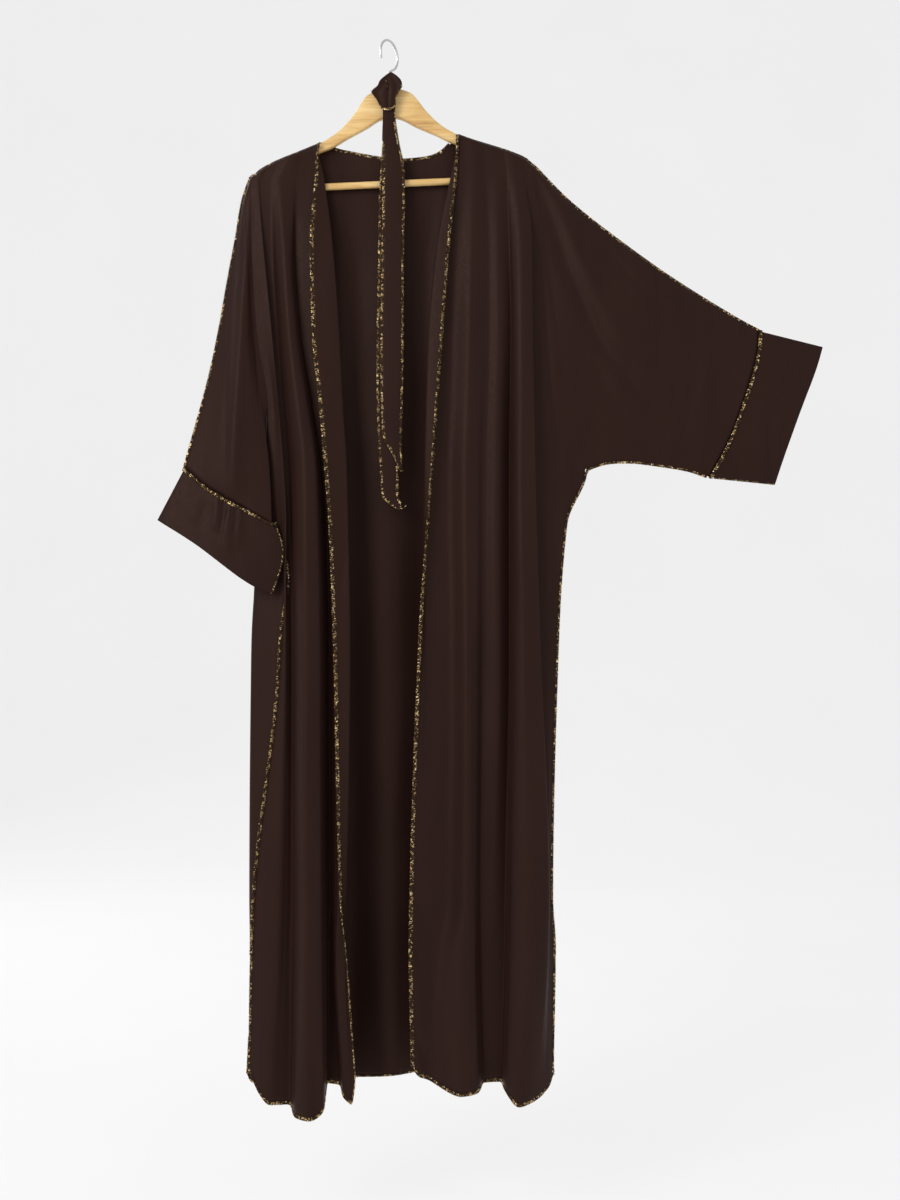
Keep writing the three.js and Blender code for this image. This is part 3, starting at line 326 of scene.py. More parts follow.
def body_grid(folds, front):
    """A panel's grid: each row is a level of the tables, each column a place between two folds."""
    steps = [fold[0] * COLUMN_DETAIL for fold in folds]
    places = np.concatenate([i + np.arange(n) / n for i, n in enumerate(steps) if n] + [[len(folds) - 1.0]])
    counts = np.arange(len(folds))
    top, across, forward, hem = (smooth(counts, [fold[k] for fold in folds], places) for k in (1, 2, 3, 4))
    yoke_drop = YOKE_DROP - math.tan(TILT) * across[:, 0]
    grid = np.empty((len(ROWS), len(places), 3))
    upper = ROWS < 1
    for c in range(len(places)):
        drops = np.array([yoke_drop[c], *LEVEL_DROP, hem[c, 2]])
        drop = np.interp(ROWS, np.arange(1, 11), drops)
        x = smooth(drops, [*across[c], hem[c, 0]], drop)
        y = smooth(drops, [*forward[c], hem[c, 1]], drop)
        if not front and NECK_FROM < top[c] < NECK_TO:
            top_drop, top_forward = smooth(NECK_ACROSS, NECK_DROP, top[c:c + 1])[0], NECK_FORWARD
        else:
            top_drop, top_forward = shoulder_drop(top[c:c + 1])[0], SEAM_OFFSET if front else -SEAM_OFFSET
        row = ROWS[upper]
        drop[upper] = top_drop + (yoke_drop[c] - top_drop) * row
        turned = np.minimum(1, (drop[upper] - top_drop) / ROLL_OVER)
        roll = np.sqrt(np.maximum(0, 1 - (1 - turned) ** 2))
        x[upper] = top[c] + (across[c, 0] - top[c]) * row
        y[upper] = top_forward + (forward[c, 0] - top_forward) * roll
        grid[:, c] = np.stack([x, -y, -drop], 1)
    return grid


def cuff_line(sleeve):
    return Line(place([sleeve["overarm"][-1], *sleeve["cuff_seam"], sleeve["underarm"][-1]]))


def sleeve_grid(sleeve, inner, side, rows):
    """A sleeve's wall between the panel's column inner and the cuff seam."""
    layer = np.array([0, -side * SEAM_OFFSET, 0])
    overarm = Line([inner[0], *(place(sleeve["overarm"]) + layer)])
    underarm = Line([inner[-1], *(place(sleeve["underarm"]) + layer)])
    cuff = cuff_line(sleeve)
    inner_share = (inner[0, 2] - inner[:, 2]) / (inner[0, 2] - inner[-1, 2])
    cad = np.array([r for r in CAD_ROWS if r <= rows[-1]])
    outer_share = 0.5 - 0.5 * np.cos(np.pi * np.interp(rows, cad, np.arange(len(cad))) / (len(cad) - 1))
    outer = cuff.at(outer_share) + layer
    outer[:, 1] -= side * sleeve["depth"] * np.maximum(0, np.sin(np.pi * outer_share)) ** 0.7
    u = np.linspace(0, 1, SLEEVE_COLUMNS + 1)[None, :, None]
    flat_u = u[0, :, 0]
    v = inner_share[:, None, None] * (1 - u) + outer_share[:, None, None] * u
    grid = inner[:, None] * (1 - u) + outer[:, None] * u
    for line, end, weight in ((overarm, 0, 1 - v), (underarm, -1, v)):
        chord = inner[end] + (line.at(1)[0] - inner[end]) * flat_u[:, None]
        grid = grid + (line.at(flat_u) - chord)[None] * weight
    start, stop, height, width = sleeve["ridge"]
    off = (v - (start + (stop - start) * u)) / width
    swell = height * np.exp(-off ** 2) * np.sin(np.pi * np.clip(v, 0, 1)) * np.sin(np.pi * np.clip(u, 0, 1)) ** 0.6
    grid[:, :, 1] -= side * swell[:, :, 0]
    grid[:, 0] = inner
    return grid


def crease(grid, name, out, seams):
    """Lays a piece's creases in its grid, fading to nothing at the seams, with faint ripples everywhere."""
    flat = grid.reshape(-1, 3)
    spot = np.stack([flat[:, 0], -flat[:, 2]], 1)
    weight = np.ones(len(flat))
    for seam in seams:
        apart, _ = near_line(spot, np.stack([seam[:, 0], -seam[:, 2]], 1)[::4])
        weight *= np.clip(apart / SEAM_FADE, 0, 1) ** 1.5
    rise = 0.35 * np.sin(spot[:, 0] / 13 + spot[:, 1] / 71 + len(name)) * np.sin(spot[:, 1] / 97)
    rise += 0.3 * np.sin(spot[:, 0] / 29 - spot[:, 1] / 43)
    for height, width, line in CREASES.get(name, []):
        apart, share = near_line(spot, line)
        rise += height * np.exp(-(apart / width) ** 2) * np.sin(np.pi * np.clip(share, 0.001, 0.999)) ** 0.5
    flat[:, 1] += out * rise * weight
    return flat.reshape(grid.shape)


def to_row(level):
    return ROWS <= level + 1e-9


FRONT, BACK = -1, 1
body = {"front_left": body_grid(FRONT_LEFT_FOLDS, True), "front_right": body_grid(FRONT_RIGHT_FOLDS, True),
        "back": body_grid(BACK_FOLDS, False)}
SIDE_SWELL = (15, 800, 62, 3)  # how far the right side seam swings in, its drop, over which height and folds


def swell_side(grid, side_first):
    """Moves the cloth along the right side seam in towards the middle, where the cuff hangs beside it."""
    height, drop, reach, fade = SIDE_SWELL
    away = np.arange(grid.shape[1])[::1 if side_first else -1]
    near = np.clip(1 - away / (fade * COLUMN_DETAIL), 0, 1) ** 1.3
    grid[:, :, 0] += height * near * np.exp(-((-grid[:, :, 2] - drop) / reach) ** 2)


swell_side(body["front_right"], False)
swell_side(body["back"], True)
arm, fore = to_row(UNDERARM), to_row(RIBS)
sleeve = {
    "front_left": sleeve_grid(SLEEVE_LEFT, body["front_left"][arm, -1], 1, ROWS[arm]),
    "front_right": sleeve_grid(SLEEVE_RIGHT, body["front_right"][fore, -1], 1, ROWS[fore]),
    "back_left": sleeve_grid(SLEEVE_LEFT, body["back"][arm, -1], -1, ROWS[arm]),
    "back_right": sleeve_grid(SLEEVE_RIGHT, body["back"][fore, 0], -1, ROWS[fore]),
}


def dress(name, out, *sleeves):
    """Creases a panel and its sleeves together, so that they still meet; each has a level and a column."""
    panel = body[name]
    seams = [panel[0]]
    for key, level, column in sleeves:
        grid = sleeve[key]
        seams += [panel[ROWS >= level, column], grid[0], grid[-1], grid[:, -1]]
    seams = [seam.copy() for seam in seams]
    body[name] = crease(panel.copy(), name, out, seams)
    for key, _, _ in sleeves:
        sleeve[key] = crease(sleeve[key].copy(), name, out, seams)


dress("front_left", FRONT, ("front_left", UNDERARM, -1))
dress("front_right", FRONT, ("front_right", RIBS, -1))
dress("back", BACK, ("back_left", UNDERARM, -1), ("back_right", RIBS, 0))

CUFF_SIDES = CUFF_LENGTHS = 40


def cuff_rows(name, sleeve):
    """The open tube of a cuff, from its seam to its opening."""
    end = Line(place(sleeve["opening"]))
    shares = np.linspace(0, 1, 9)
    from_points, to_points = cuff_line(sleeve).at(shares), end.at(shares)
    starts = SEAM_GAP * 1.6 / np.linalg.norm(to_points - from_points, axis=1)
    around = 0.5 - 0.5 * np.cos(np.pi * np.arange(CUFF_SIDES + 1) / CUFF_SIDES)
    lengths = np.linspace(0, 1, CUFF_LENGTHS + 1)
    rows = []
    for length in lengths:
        share = (starts + (1 - starts) * length)[:, None]
        line = Line(from_points * (1 - share) + to_points * share).at(around)
        deep = sleeve["depth"] + (sleeve["opening_depth"] - sleeve["depth"]) * length
        bulge = (SEAM_OFFSET + deep * np.maximum(0, np.sin(np.pi * around)) ** 0.7)[:, None] * [0, 1, 0]
        rows.append(np.vstack([line - bulge, (line + bulge)[::-1]]))
    grid = np.array(rows)
    half = CUFF_SIDES + 1
    under = np.concatenate([around, around[::-1]])[None]
    bow = np.sin(np.pi * lengths[:, None] ** 0.8) * np.clip(under * 2.2 - 1.2, 0, 1) ** 1.5
    grid[:, :, 0] += sleeve["swell"] * bow
    seams = [grid[:, 0].copy(), grid[:, half - 1].copy()]
    grid[:, :half] = crease(grid[:, :half].copy(), name, FRONT, seams)
    grid[:, half:] = crease(grid[:, half:].copy(), name, BACK, seams)
    return grid


cuff = {"left": cuff_rows("cuff_left", SLEEVE_LEFT), "right": cuff_rows("cuff_right", SLEEVE_RIGHT)}


# ---- materials
class Look:
    """A new material, with short ways to add its nodes."""

    def __init__(self, name, **sockets):
        self.made = bpy.data.materials.new(name)
        self.made.use_nodes = True
        self.tree = self.made.node_tree
        self.shader = self.tree.nodes["Principled BSDF"]
        self.put(self.shader, **sockets)

    def put(self, node, **sockets):
        """Sets each socket to its value, or links it to another node's output."""
        for key, value in sockets.items():
            socket = node.inputs[key.replace("_", " ")]
            if isinstance(value, bpy.types.NodeSocket):
                self.tree.links.new(value, socket)
            else:
                socket.default_value = value
        return node

    def add(self, kind, **sockets):
        return self.put(self.tree.nodes.new("ShaderNode" + kind), **sockets)

    def space(self, *scale):
        return self.add("Mapping", Vector=self.add("TexCoord").outputs["Object"], Scale=scale).outputs["Vector"]

    def noise(self, vector, scale, detail=3.0, roughness=0.55):
        node = self.add("TexNoise", Vector=vector, Scale=scale, Detail=detail, Roughness=roughness)
        return node.outputs["Fac"]

    def wave(self, vector, scale, direction):
        node = self.add("TexWave", Vector=vector, Scale=scale, Distortion=0.6)
        node.bands_direction = direction
        return node.outputs["Fac"]

    def ramp(self, value, *stops):
        node = self.add("ValToRGB", Fac=value)
        marks = node.color_ramp.elements
        for k in (0, -1):
            marks[k].position = stops[k][0]
            marks[k].color = (*stops[k][1], 1)
        for at, colour in stops[1:-1]:
            marks.new(at).color = (*colour, 1)
        return node.outputs["Color"]

    def greys(self, value, start, dark, end, light):
        return self.ramp(value, (start, (dark,) * 3), (end, (light,) * 3))

    def bump(self, height, strength, distance, **under):
        return self.add("Bump", Height=height, Strength=strength, Distance=distance, **under).outputs["Normal"]


def crepe():
    look = Look("crepe", Sheen_Weight=0.06, Sheen_Roughness=0.4, Sheen_Tint=(0.62, 0.36, 0.28, 1),
                Specular_IOR_Level=0.13, Specular_Tint=(1.0, 0.72, 0.6, 1))
    plain, tall = look.space(1, 1, 1), look.space(1, 1, 0.16)
    tone = look.ramp(look.noise(tall, 26, 4), (0.3, (0.0150, 0.0062, 0.0050)), (0.72, (0.0205, 0.0086, 0.0068)))
    slubs = look.bump(look.noise(tall, 320, 2), 0.10, 0.0004)
    grain = look.bump(look.noise(plain, 1500, 2), 0.16, 0.00015, Normal=slubs)
    warp = look.bump(look.wave(plain, 380, "X"), 0.05, 0.0001, Normal=grain)
    weft = look.bump(look.wave(plain, 420, "Z"), 0.05, 0.0001, Normal=warp)
    look.put(look.shader, Base_Color=tone, Normal=weft,
             Roughness=look.greys(look.noise(plain, 240, 3), 0.3, 0.44, 0.7, 0.56))
    return look.made


def glitter(name, thread, share, cell):
    """Lurex thread: cells of gold among dark thread, cell mm wide; share = how much of it is dark."""
    look = Look(name, Specular_IOR_Level=0.12, Specular_Tint=(1.0, 0.8, 0.6, 1))
    cells = look.add("TexVoronoi", Scale=1000 / cell, Vector=look.space(1, 1, 1))
    split = look.add("SeparateColor", Color=cells.outputs["Color"])
    dice = split.outputs["Red"]
    look.put(look.shader, Normal=look.bump(dice, 0.6, 0.0004),
             Base_Color=look.ramp(dice, (0.0, (0.022, 0.012, 0.008)), (share, thread),
                                  (share + 0.07, (0.58, 0.37, 0.14)), (1.0, (1.0, 0.80, 0.46))),
             Metallic=look.greys(dice, share * 0.8, 0.0, min(share + 0.1, 0.95), 0.9),
             Roughness=look.greys(split.outputs["Green"], 0.0, 0.2, 1.0, 0.5))
    return look.made


def wood_material():
    look = Look("beech", Coat_Weight=0.35, Coat_Roughness=0.16, Specular_IOR_Level=0.5)
    rings = look.noise(look.space(1.0, 6.0, 9.0), 9, 5, 0.62)
    flecks = look.noise(look.space(0.6, 9, 26), 42, 3)
    blend = look.add("Mix")
    blend.data_type, blend.blend_type = "RGBA", "MULTIPLY"
    look.put(blend, Factor=0.8, B=look.greys(flecks, 0.35, 0.72, 0.6, 1.0),
             A=look.ramp(rings, (0.3, (0.53, 0.29, 0.085)), (0.5, (0.73, 0.465, 0.165)), (0.72, (0.83, 0.59, 0.26))))
    look.put(look.shader, Base_Color=blend.outputs["Result"], Normal=look.bump(flecks, 0.12, 0.0004),
             Roughness=look.greys(flecks, 0.3, 0.52, 0.7, 0.38))
    return look.made


def steel_material():
    look = Look("steel_wire", Metallic=1.0)
    drawn = look.noise(look.space(300, 300, 30), 4, 3)
    look.put(look.shader, Base_Color=look.greys(drawn, 0.2, 0.50, 0.8, 0.70), Normal=look.bump(drawn, 0.08, 0.0002),
             Roughness=look.greys(drawn, 0.3, 0.2, 0.7, 0.34))
    return look.made


CLOTH, WOOD, STEEL = crepe(), wood_material(), steel_material()
BAND = glitter("overlock_band", (0.030, 0.016, 0.008), 0.84, 2.2)
THREAD = glitter("lurex_thread", (0.050, 0.029, 0.013), 0.70, 2.7)
DULL_THREAD = glitter("dull_lurex_thread", (0.030, 0.017, 0.010), 0.9, 2.3)


# ---- meshes
def add_piece(name, vertices, faces, finish, nodes=(), merge=False, sharp=None):
    mesh = bpy.data.meshes.new(name)
    mesh.from_pydata((np.asarray(vertices) * MM).tolist(), [], faces)
    work = bmesh.new()
    work.from_mesh(mesh)
    if merge:
        bmesh.ops.remove_doubles(work, verts=work.verts, dist=2e-6)
    bmesh.ops.recalc_face_normals(work, faces=work.faces)
    work.to_mesh(mesh)
    work.free()
    mesh.materials.append(finish)
    mesh.polygons.foreach_set("use_smooth", [True] * len(mesh.polygons))
    if sharp is not None:
        mesh.set_sharp_from_angle(angle=math.radians(sharp))
    piece = bpy.data.objects.new(name, mesh)
    bpy.context.collection.objects.link(piece)
    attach(piece, "root")
    if nodes:
        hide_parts(*nodes)
    return piece


def quads(rows, columns, start=0, ring=False):
    r, c = np.meshgrid(np.arange(rows - 1), np.arange(columns if ring else columns - 1), indexing="ij")
    right = (c + 1) % columns
    faces = np.stack([r * columns + c, r * columns + right, (r + 1) * columns + right, (r + 1) * columns + c], -1)
    return (faces.reshape(-1, 4) + start).tolist()


def ring_piece(name, rings, finish, nodes=(), sharp=None):
    """A piece of rings in a row, closed at both ends."""
    rings = np.asarray(rings)
    count, sides = rings.shape[:2]
    ends = [list(range(sides))[::-1], [(count - 1) * sides + k for k in range(sides)]]
    faces = quads(count, sides, ring=True) + ends
    return add_piece(name, rings.reshape(-1, 3), faces, finish, nodes, sharp=sharp)


def cloth_piece(name, grids, nodes, ring=False, thickness=SHELL):
    vertices, faces = [], []
    for grid in grids:
        faces += quads(*grid.shape[:2], start=sum(map(len, vertices)), ring=ring)
        vertices.append(grid.reshape(-1, 3))
    piece = add_piece(name, np.vstack(vertices), faces, CLOTH, nodes, merge=True)
    shell = piece.modifiers.new("thickness", "SOLIDIFY")
    shell.thickness = thickness * MM
    shell.offset = 0
    return piece


back = cloth_piece("back_cloth", [body["back"], sleeve["back_left"], sleeve["back_right"]], ["back"])
front_left = cloth_piece("front_left_cloth", [body["front_left"], sleeve["front_left"]], ["front_left"])
front_right = cloth_piece("front_right_cloth", [body["front_right"], sleeve["front_right"]], ["front_right"])
cuff_left = cloth_piece("cuff_left_cloth", [cuff["left"]], ["cuff_left"], ring=True)
cuff_right = cloth_piece("cuff_right_cloth", [cuff["right"]], ["cuff_right"], ring=True)


# ---- overlocked edges
EDGE_OVERLAP = -0.9  # how far an overlocked edge reaches over the cloth
BAND_STEP, BAND_SIDES = 3, 8
PITCH, THREAD_RADIUS, TURN_STEPS = 2.3, 0.42, 8
WOBBLE, WOBBLE_STEP = 0.22, 5  # unevenness of the thread's turns


def overlock(name, line, outward, width, nodes=(), gap=EDGE_OVERLAP, normal=None, thickness=TRIM_THICKNESS,
             closed=False, dull=False):
    """A flat dark band along a line with lurex thread wound over it, reaching a little over the cloth's edge."""
    if closed:
        line, outward, normal = (np.vstack([a, a[:1]]) for a in (line, outward, normal))
        width = np.append(width, width[0])
    run = np.concatenate([[0], np.cumsum(np.linalg.norm(np.diff(line, axis=0), axis=1))])
    total = run[-1]
    width = np.full(len(line), float(width)) if np.ndim(width) < 1 else np.asarray(width)

    def frames(at):
        points = resample(run, line, at)
        out = unit(resample(run, outward, at))
        wide = np.interp(at, run, width)
        if normal is None:
            along = np.gradient(points, axis=0)
            up = unit(np.cross(unit(along), out))
        else:
            up = unit(resample(run, normal, at))
        return points, out, up, wide

    at = np.linspace(0, total, max(3, int(total / BAND_STEP)))
    points, out, up, wide = frames(at)
    middle = points + out * (gap + wide / 2)[:, None]
    angles = np.linspace(0, 2 * np.pi, BAND_SIDES, endpoint=False) + np.pi / BAND_SIDES
    flat, tall = ((np.sign(v) * np.abs(v) ** power)[None, :, None]
                  for v, power in ((np.cos(angles), 0.6), (np.sin(angles), 0.8)))
    rings = middle[:, None] + out[:, None] * (flat * (wide / 2 * 0.92)[:, None, None]) \
        + up[:, None] * (tall * thickness * 0.42)
    band = ring_piece(name + "_band", rings, BAND, nodes)

    at = np.linspace(0, total, max(12, int(total / PITCH * TURN_STEPS)))
    points, out, up, wide = frames(at)
    knots = max(4, int(total / WOBBLE_STEP))
    wobble = np.interp(at, np.linspace(0, total, knots), rng.normal(0, WOBBLE, knots))
    angle = 2 * np.pi * at / PITCH + wobble * 2.2
    reach = wide / 2 + 0.15 + 0.25 * wobble
    lean = unit(np.gradient(points, axis=0))
    centre = points + out * (gap + wide / 2 + np.cos(angle) * reach)[:, None] \
        + up * (np.sin(angle) * (thickness / 2 + THREAD_RADIUS * 0.6))[:, None] \
        + lean * (np.cos(angle) * PITCH * 0.32)[:, None]
    along = unit(np.gradient(centre, axis=0))
    side = unit(np.cross(along, up * 0.6 + out * 0.4 + 1e-3))
    other = np.cross(side, along)
    a = np.array([0.785, 2.356, 3.927, 5.498])[None, :, None]
    rings = centre[:, None] + THREAD_RADIUS * (side[:, None] * np.cos(a) + other[:, None] * np.sin(a))
    return [band, ring_piece(name + "_thread", rings, DULL_THREAD if dull else THREAD)]


def sideways(line, turn):
    along = np.gradient(line, axis=0)
    return unit(np.stack([-turn * along[:, 2], np.zeros(len(line)), turn * along[:, 0]], 1))


def to_seam(line):
    """Moves a line of a front's edge back to the seam's middle."""
    return line + [0, SEAM_OFFSET, 0]


EDGE_TURN = dict(left=-1.3, right=0.0)  # how far each front edge is turned flat towards the viewer
PLAIN_SHOULDER = dict(left=0.5, right=0.46)  # share of the overarm seam with little lurex showing
NECK_INSET = 8  # the neck's overlock ends this far inside the neck's ends
neck = body["back"][0]
neck = neck[(neck[:, 0] > NECK_FROM + NECK_INSET) & (neck[:, 0] < NECK_TO - NECK_INSET)]
hems = {"back": [], "front_left": [], "front_right": []}
hems["back"] += overlock("neck_edge", neck, sideways(neck, 1), NARROW_TRIM, ["trim_neck"])

for side in ("left", "right"):
    name = f"front_{side}"
    below = ROWS >= FRONT_TRIM_FROM
    edge, inside = body[name][below, 0], body[name][below, 1]
    out = unit(unit(edge - inside) + [EDGE_TURN[side], 0, 0])
    hems[name] += overlock(f"front_edge_{side}", edge, out, TRIM_WIDTH, [f"trim_front_edge_{side}"])
    turn = 1 if side == "left" else -1
    line = to_seam(np.vstack([body[name][0, 2 * COLUMN_DETAIL:-1], sleeve[name][0]]))
    plain = int(len(line) * PLAIN_SHOULDER[side])
    width = 2.0 + 2.4 * np.minimum(1, np.linspace(0, 1, len(line)) * 2)
    out = sideways(line, turn)
    near, far = slice(plain + 1), slice(plain, None)
    hems[name] += overlock(f"shoulder_{side}", line[near], out[near], width[near], dull=True)
    hems[name] += overlock(f"overarm_{side}", line[far], out[far], width[far], [f"trim_overarm_{side}"])

BESIDE_CUFF = (790, 75, [2, -1.6, 0])  # drop and height over which the right side seam is moved, and how far
under = sleeve["front_left"][-1][::-1][1:-1]
line = to_seam(np.vstack([under, body["front_left"][(ROWS > UNDERARM) & (ROWS < SLIT + SIDE_TRIM_OVERLAP), -1]]))
hems["front_left"] += overlock("side_left", line, sideways(line, 1), NARROW_TRIM, ["trim_side_left"])
line = body["front_right"][(ROWS >= WAIST) & (ROWS < SLIT + SIDE_TRIM_OVERLAP), -1].copy()
beside_cuff = np.exp(-((-line[:, 2] - BESIDE_CUFF[0]) / BESIDE_CUFF[1]) ** 2)
line += beside_cuff[:, None] * BESIDE_CUFF[2]
out = np.tile([-0.97, -0.24, 0], (len(line), 1))
hems["front_right"] += overlock("side_right", line, out, SIDE_TRIM, ["trim_side_right"], 0)


def hem_trim(name, grid, both, width, start, nodes):
    """Overlocks a hem and the edge of its last column from row start down, or of both outer columns."""
    rows = np.flatnonzero((ROWS >= start) & (ROWS < HEM))
    hem = grid[-1]
    out = unit(hem - grid[-2])
    out[-1] = unit(out[-1] + unit(hem[-1] - hem[-2]))
    line, ways = [hem, grid[rows, -1][::-1]], [out, unit(grid[rows, -1] - grid[rows, -2])[::-1]]
    if both:
        out[0] = unit(out[0] + unit(hem[0] - hem[1]))
        line.insert(0, grid[rows, 0])
        ways.insert(0, unit(grid[rows, 0] - grid[rows, 1]))
    return overlock(name, np.vstack(line), np.vstack(ways), width, nodes)


hems["back"] += hem_trim("hem_back", body["back"], True, BACK_HEM_TRIM, BACK_HEM_FROM, ["trim_hem_back"])
for side in ("left", "right"):
    name = f"front_{side}"
    hems[name] += hem_trim(f"hem_{name}", body[name], False, TRIM_WIDTH, SLIT, [f"trim_hem_{name}"])

CUFF_SEAM_SHARES = (0.02 * 0.33, 0.17 * 0.33)  # of the cuff's depth, between which its seam's strip lies
CUFF_SEAM_LIFT, CUFF_SEAM_REACH = 1.75, -1.2  # off the cloth, and up over the sleeve
CUFF_EDGE_ROW = 3  # where the trim of its lower edge starts
cuff_trims = {}
for side, grid in cuff.items():
    near, far = (grid[0] + (grid[1] - grid[0]) * (share * CUFF_LENGTHS) for share in CUFF_SEAM_SHARES)
    around = np.roll(near, -1, 0) - np.roll(near, 1, 0)
    normal = unit(np.cross(around, far - near))
    normal *= np.sign(np.sum(normal[:, 1] * (near[:, 1] - near[:, 1].mean())))
    wide = np.linalg.norm(far - near, axis=1)
    cuff_trims[side] = overlock(f"cuff_seam_{side}", near + normal * CUFF_SEAM_LIFT, unit(far - near), wide + 0.9,
                                [f"trim_cuff_seam_{side}"], CUFF_SEAM_REACH, normal, closed=True)
    below = grid[CUFF_EDGE_ROW:]
    line = (below[:, CUFF_SIDES] + below[:, CUFF_SIDES + 1]) / 2
    out = unit(line - (below[:, CUFF_SIDES - 2] + below[:, CUFF_SIDES + 3]) / 2)
    cuff_trims[side] += overlock(f"cuff_under_{side}", line, out, CUFF_EDGE_TRIM)


# ---- belt
BELT_ROWS, BELT_COLUMNS, BELT_CROWN = 190, 13, 1.6
BELT_HEM, GOLD_GROWS = 4.4, 14  # width of the gold, and the drop over which it reaches it


def belt_tail(name, rows, node, bend, gold_from):
    """A hanging end of the belt; gold_from = drop where the gold starts on its right and left edge."""
    rows = np.asarray(rows, float)
    drops = rows[:, 2]
    drop = np.linspace(drops[0], drops[-1], BELT_ROWS)
    across, half, forward = (smooth(drops, rows[:, k], drop) for k in (0, 1, 3))
    widths = [np.minimum(BELT_HEM, half * 0.42) * np.clip((drop - start) / GOLD_GROWS, 0.02, 1)
              for start in gold_from]
    right, left = across - half + widths[0], across + half - widths[1]
    shares = np.linspace(0, 1, BELT_COLUMNS)
    grid = np.empty((len(drop), len(shares), 3))
    ripple = 0.35 * np.sin(drop / 23 + bend) + 0.25 * np.sin(drop / 61 + 2 * bend)
    for k, share in enumerate(shares):
        rise = forward + BELT_CROWN * share * (1 - share) + ripple * (share - 0.5)
        grid[:, k] = np.stack([right + share * (left - right), -rise, -drop], 1)
    piece = cloth_piece(name, [grid], [node], thickness=BELT_SHELL)
    shown = [drop >= start for start in gold_from]
    line = np.vstack([grid[shown[0], 0], grid[-1, 1:-1], grid[shown[1], -1][::-1]])
    end = np.full(BELT_COLUMNS - 2, BELT_HEM * 0.7)
    wide = np.concatenate([widths[0][shown[0]], end, widths[1][shown[1]][::-1]])
    return piece, overlock(f"{name}_edge", line, sideways(line, -1), np.maximum(wide, 1.0), thickness=BELT_BAND)


tail_short, short_trims = belt_tail("belt_tail_front", BELT_SHORT, "belt_tail_short", 0.4, (150, 100))
tail_long, long_trims = belt_tail("belt_tail_rear", BELT_LONG, "belt_tail_long", 2.1, (140, 140))


KNOT_ROWS, KNOT_SIDES, KNOT_BORE, KNOT_FORWARD = 30, 96, 2.2, 3
FLAP_ROWS, FLAP_COLUMNS, FLAP_TRIM = 40, 16, 2.6


def knot_core():
    """The knot's body: a folded ring round the hook's stem."""
    rows = np.asarray(KNOT, float)
    drop = np.linspace(rows[0, 3], rows[-1, 3], KNOT_ROWS)
    middle, half_x, half_y = (smooth(rows[:, 3], rows[:, k], drop) for k in (0, 1, 2))
    angle = np.linspace(0, 2 * np.pi, KNOT_SIDES, endpoint=False)
    a, d = np.meshgrid(angle, drop)
    folds = 0.98 + 0.045 * np.sin(5 * a + d / 5) + 0.03 * np.sin(9 * a - d / 4) + 0.02 * np.sin(14 * a + d / 3)
    x = middle[:, None] + half_x[:, None] * np.cos(a) * folds
    y = -KNOT_FORWARD - half_y[:, None] * np.sin(a) * folds
    outer = np.stack([x, y, -d], -1)
    bore = np.stack([HOOK_STEM + KNOT_BORE * np.cos(a), -KNOT_BORE * np.sin(a), -d], -1)
    rings = np.concatenate([outer, bore[::-1], outer[:1]])
    count = (len(rings) - 1) * len(angle)
    faces = [[i % count for i in face] for face in quads(*rings.shape[:2], ring=True)]
    return add_piece("belt_knot_core", rings[:-1].reshape(-1, 3), faces, CLOTH, ["belt_knot"])


def knot_flap(name, outer, inner, forward, bulge, gold_from):
    """A fold of the belt over the knot, between an outer and an inner line of [across, drop]."""
    shares = np.linspace(0, 1, FLAP_ROWS)
    lines = [Line([[x, 0, -d] for x, d in line]).at(shares) for line in (outer, inner)]
    across = np.linspace(0, 1, FLAP_COLUMNS)
    grid = np.empty((len(shares), len(across), 3))
    for k, t in enumerate(across):
        grid[:, k] = lines[0] * (1 - t) + lines[1] * t
        ripple = 0.7 * np.sin(t * 9 + shares * 3) * np.sin(np.pi * shares)
        lift = forward + bulge * np.sin(np.pi * shares) * math.sin(math.pi * (0.25 + 0.5 * t)) + ripple
        grid[:, k, 1] = -lift
    piece = cloth_piece(name, [grid], [], thickness=KNOT_SHELL)
    gold = shares >= gold_from
    out = unit(grid[:, 0] - grid[:, 1])
    return piece, overlock(f"{name}_edge", grid[gold, 0], out[gold], FLAP_TRIM, gap=-1.6, thickness=BELT_BAND)


knot = knot_core()
fold_right, fold_right_trims = knot_flap(
    "belt_knot_fold_right", [(3, 50.5), (-5, 56.5), (-12.5, 64), (-15.5, 71), (-24, 79.5), (-16, 92), (-9, 105)],
    [(6, 52), (4, 64), (3, 78), (2, 92), (1, 106)], 15.2, 3.0, 0.55)
fold_left, fold_left_trims = knot_flap(
    "belt_knot_fold_left", [(4.5, 50.5), (13.5, 57), (19.5, 64), (20.8, 71.5), (15.5, 81), (11, 92), (10, 105)],
    [(1, 54), (-1, 68), (0, 82), (0, 94), (0, 106)], 17.0, 2.6, 0.42)
neck_band = Line([(-8, -17.0, -104.5), (1, -18.8, -106), (10, -17.4, -104)]).at(np.linspace(0, 1, 20))
fold_right_trims += overlock("belt_knot_band", neck_band, sideways(neck_band, -1), NARROW_TRIM, gap=-2,
                             thickness=BELT_BAND)
inner_band = Line([(-4, -19.2, -62), (-1, -20.4, -70), (-2, -20.6, -77)]).at(np.linspace(0, 1, 14))
fold_right_trims += overlock("belt_knot_inner_band", inner_band, sideways(inner_band, -1), 2.2, gap=-1,
                             thickness=1.0, dull=True)


# ---- hanger
def hanger_point(out, height, depth):
    out, height = np.asarray(out, float), np.asarray(height, float)
    x = CENTRE + out * math.cos(TILT) - (height - PIVOT) * math.sin(TILT)
    z = PIVOT + out * math.sin(TILT) + (height - PIVOT) * math.cos(TILT)
    return np.stack([x, np.broadcast_to(depth, x.shape), z], -1)


WOOD_SIDES, WOOD_CORNER, WOOD_END = 36, 4.0, 3.5  # points round a section, its corner, length of the rounded end
BAR_SIDES = 40


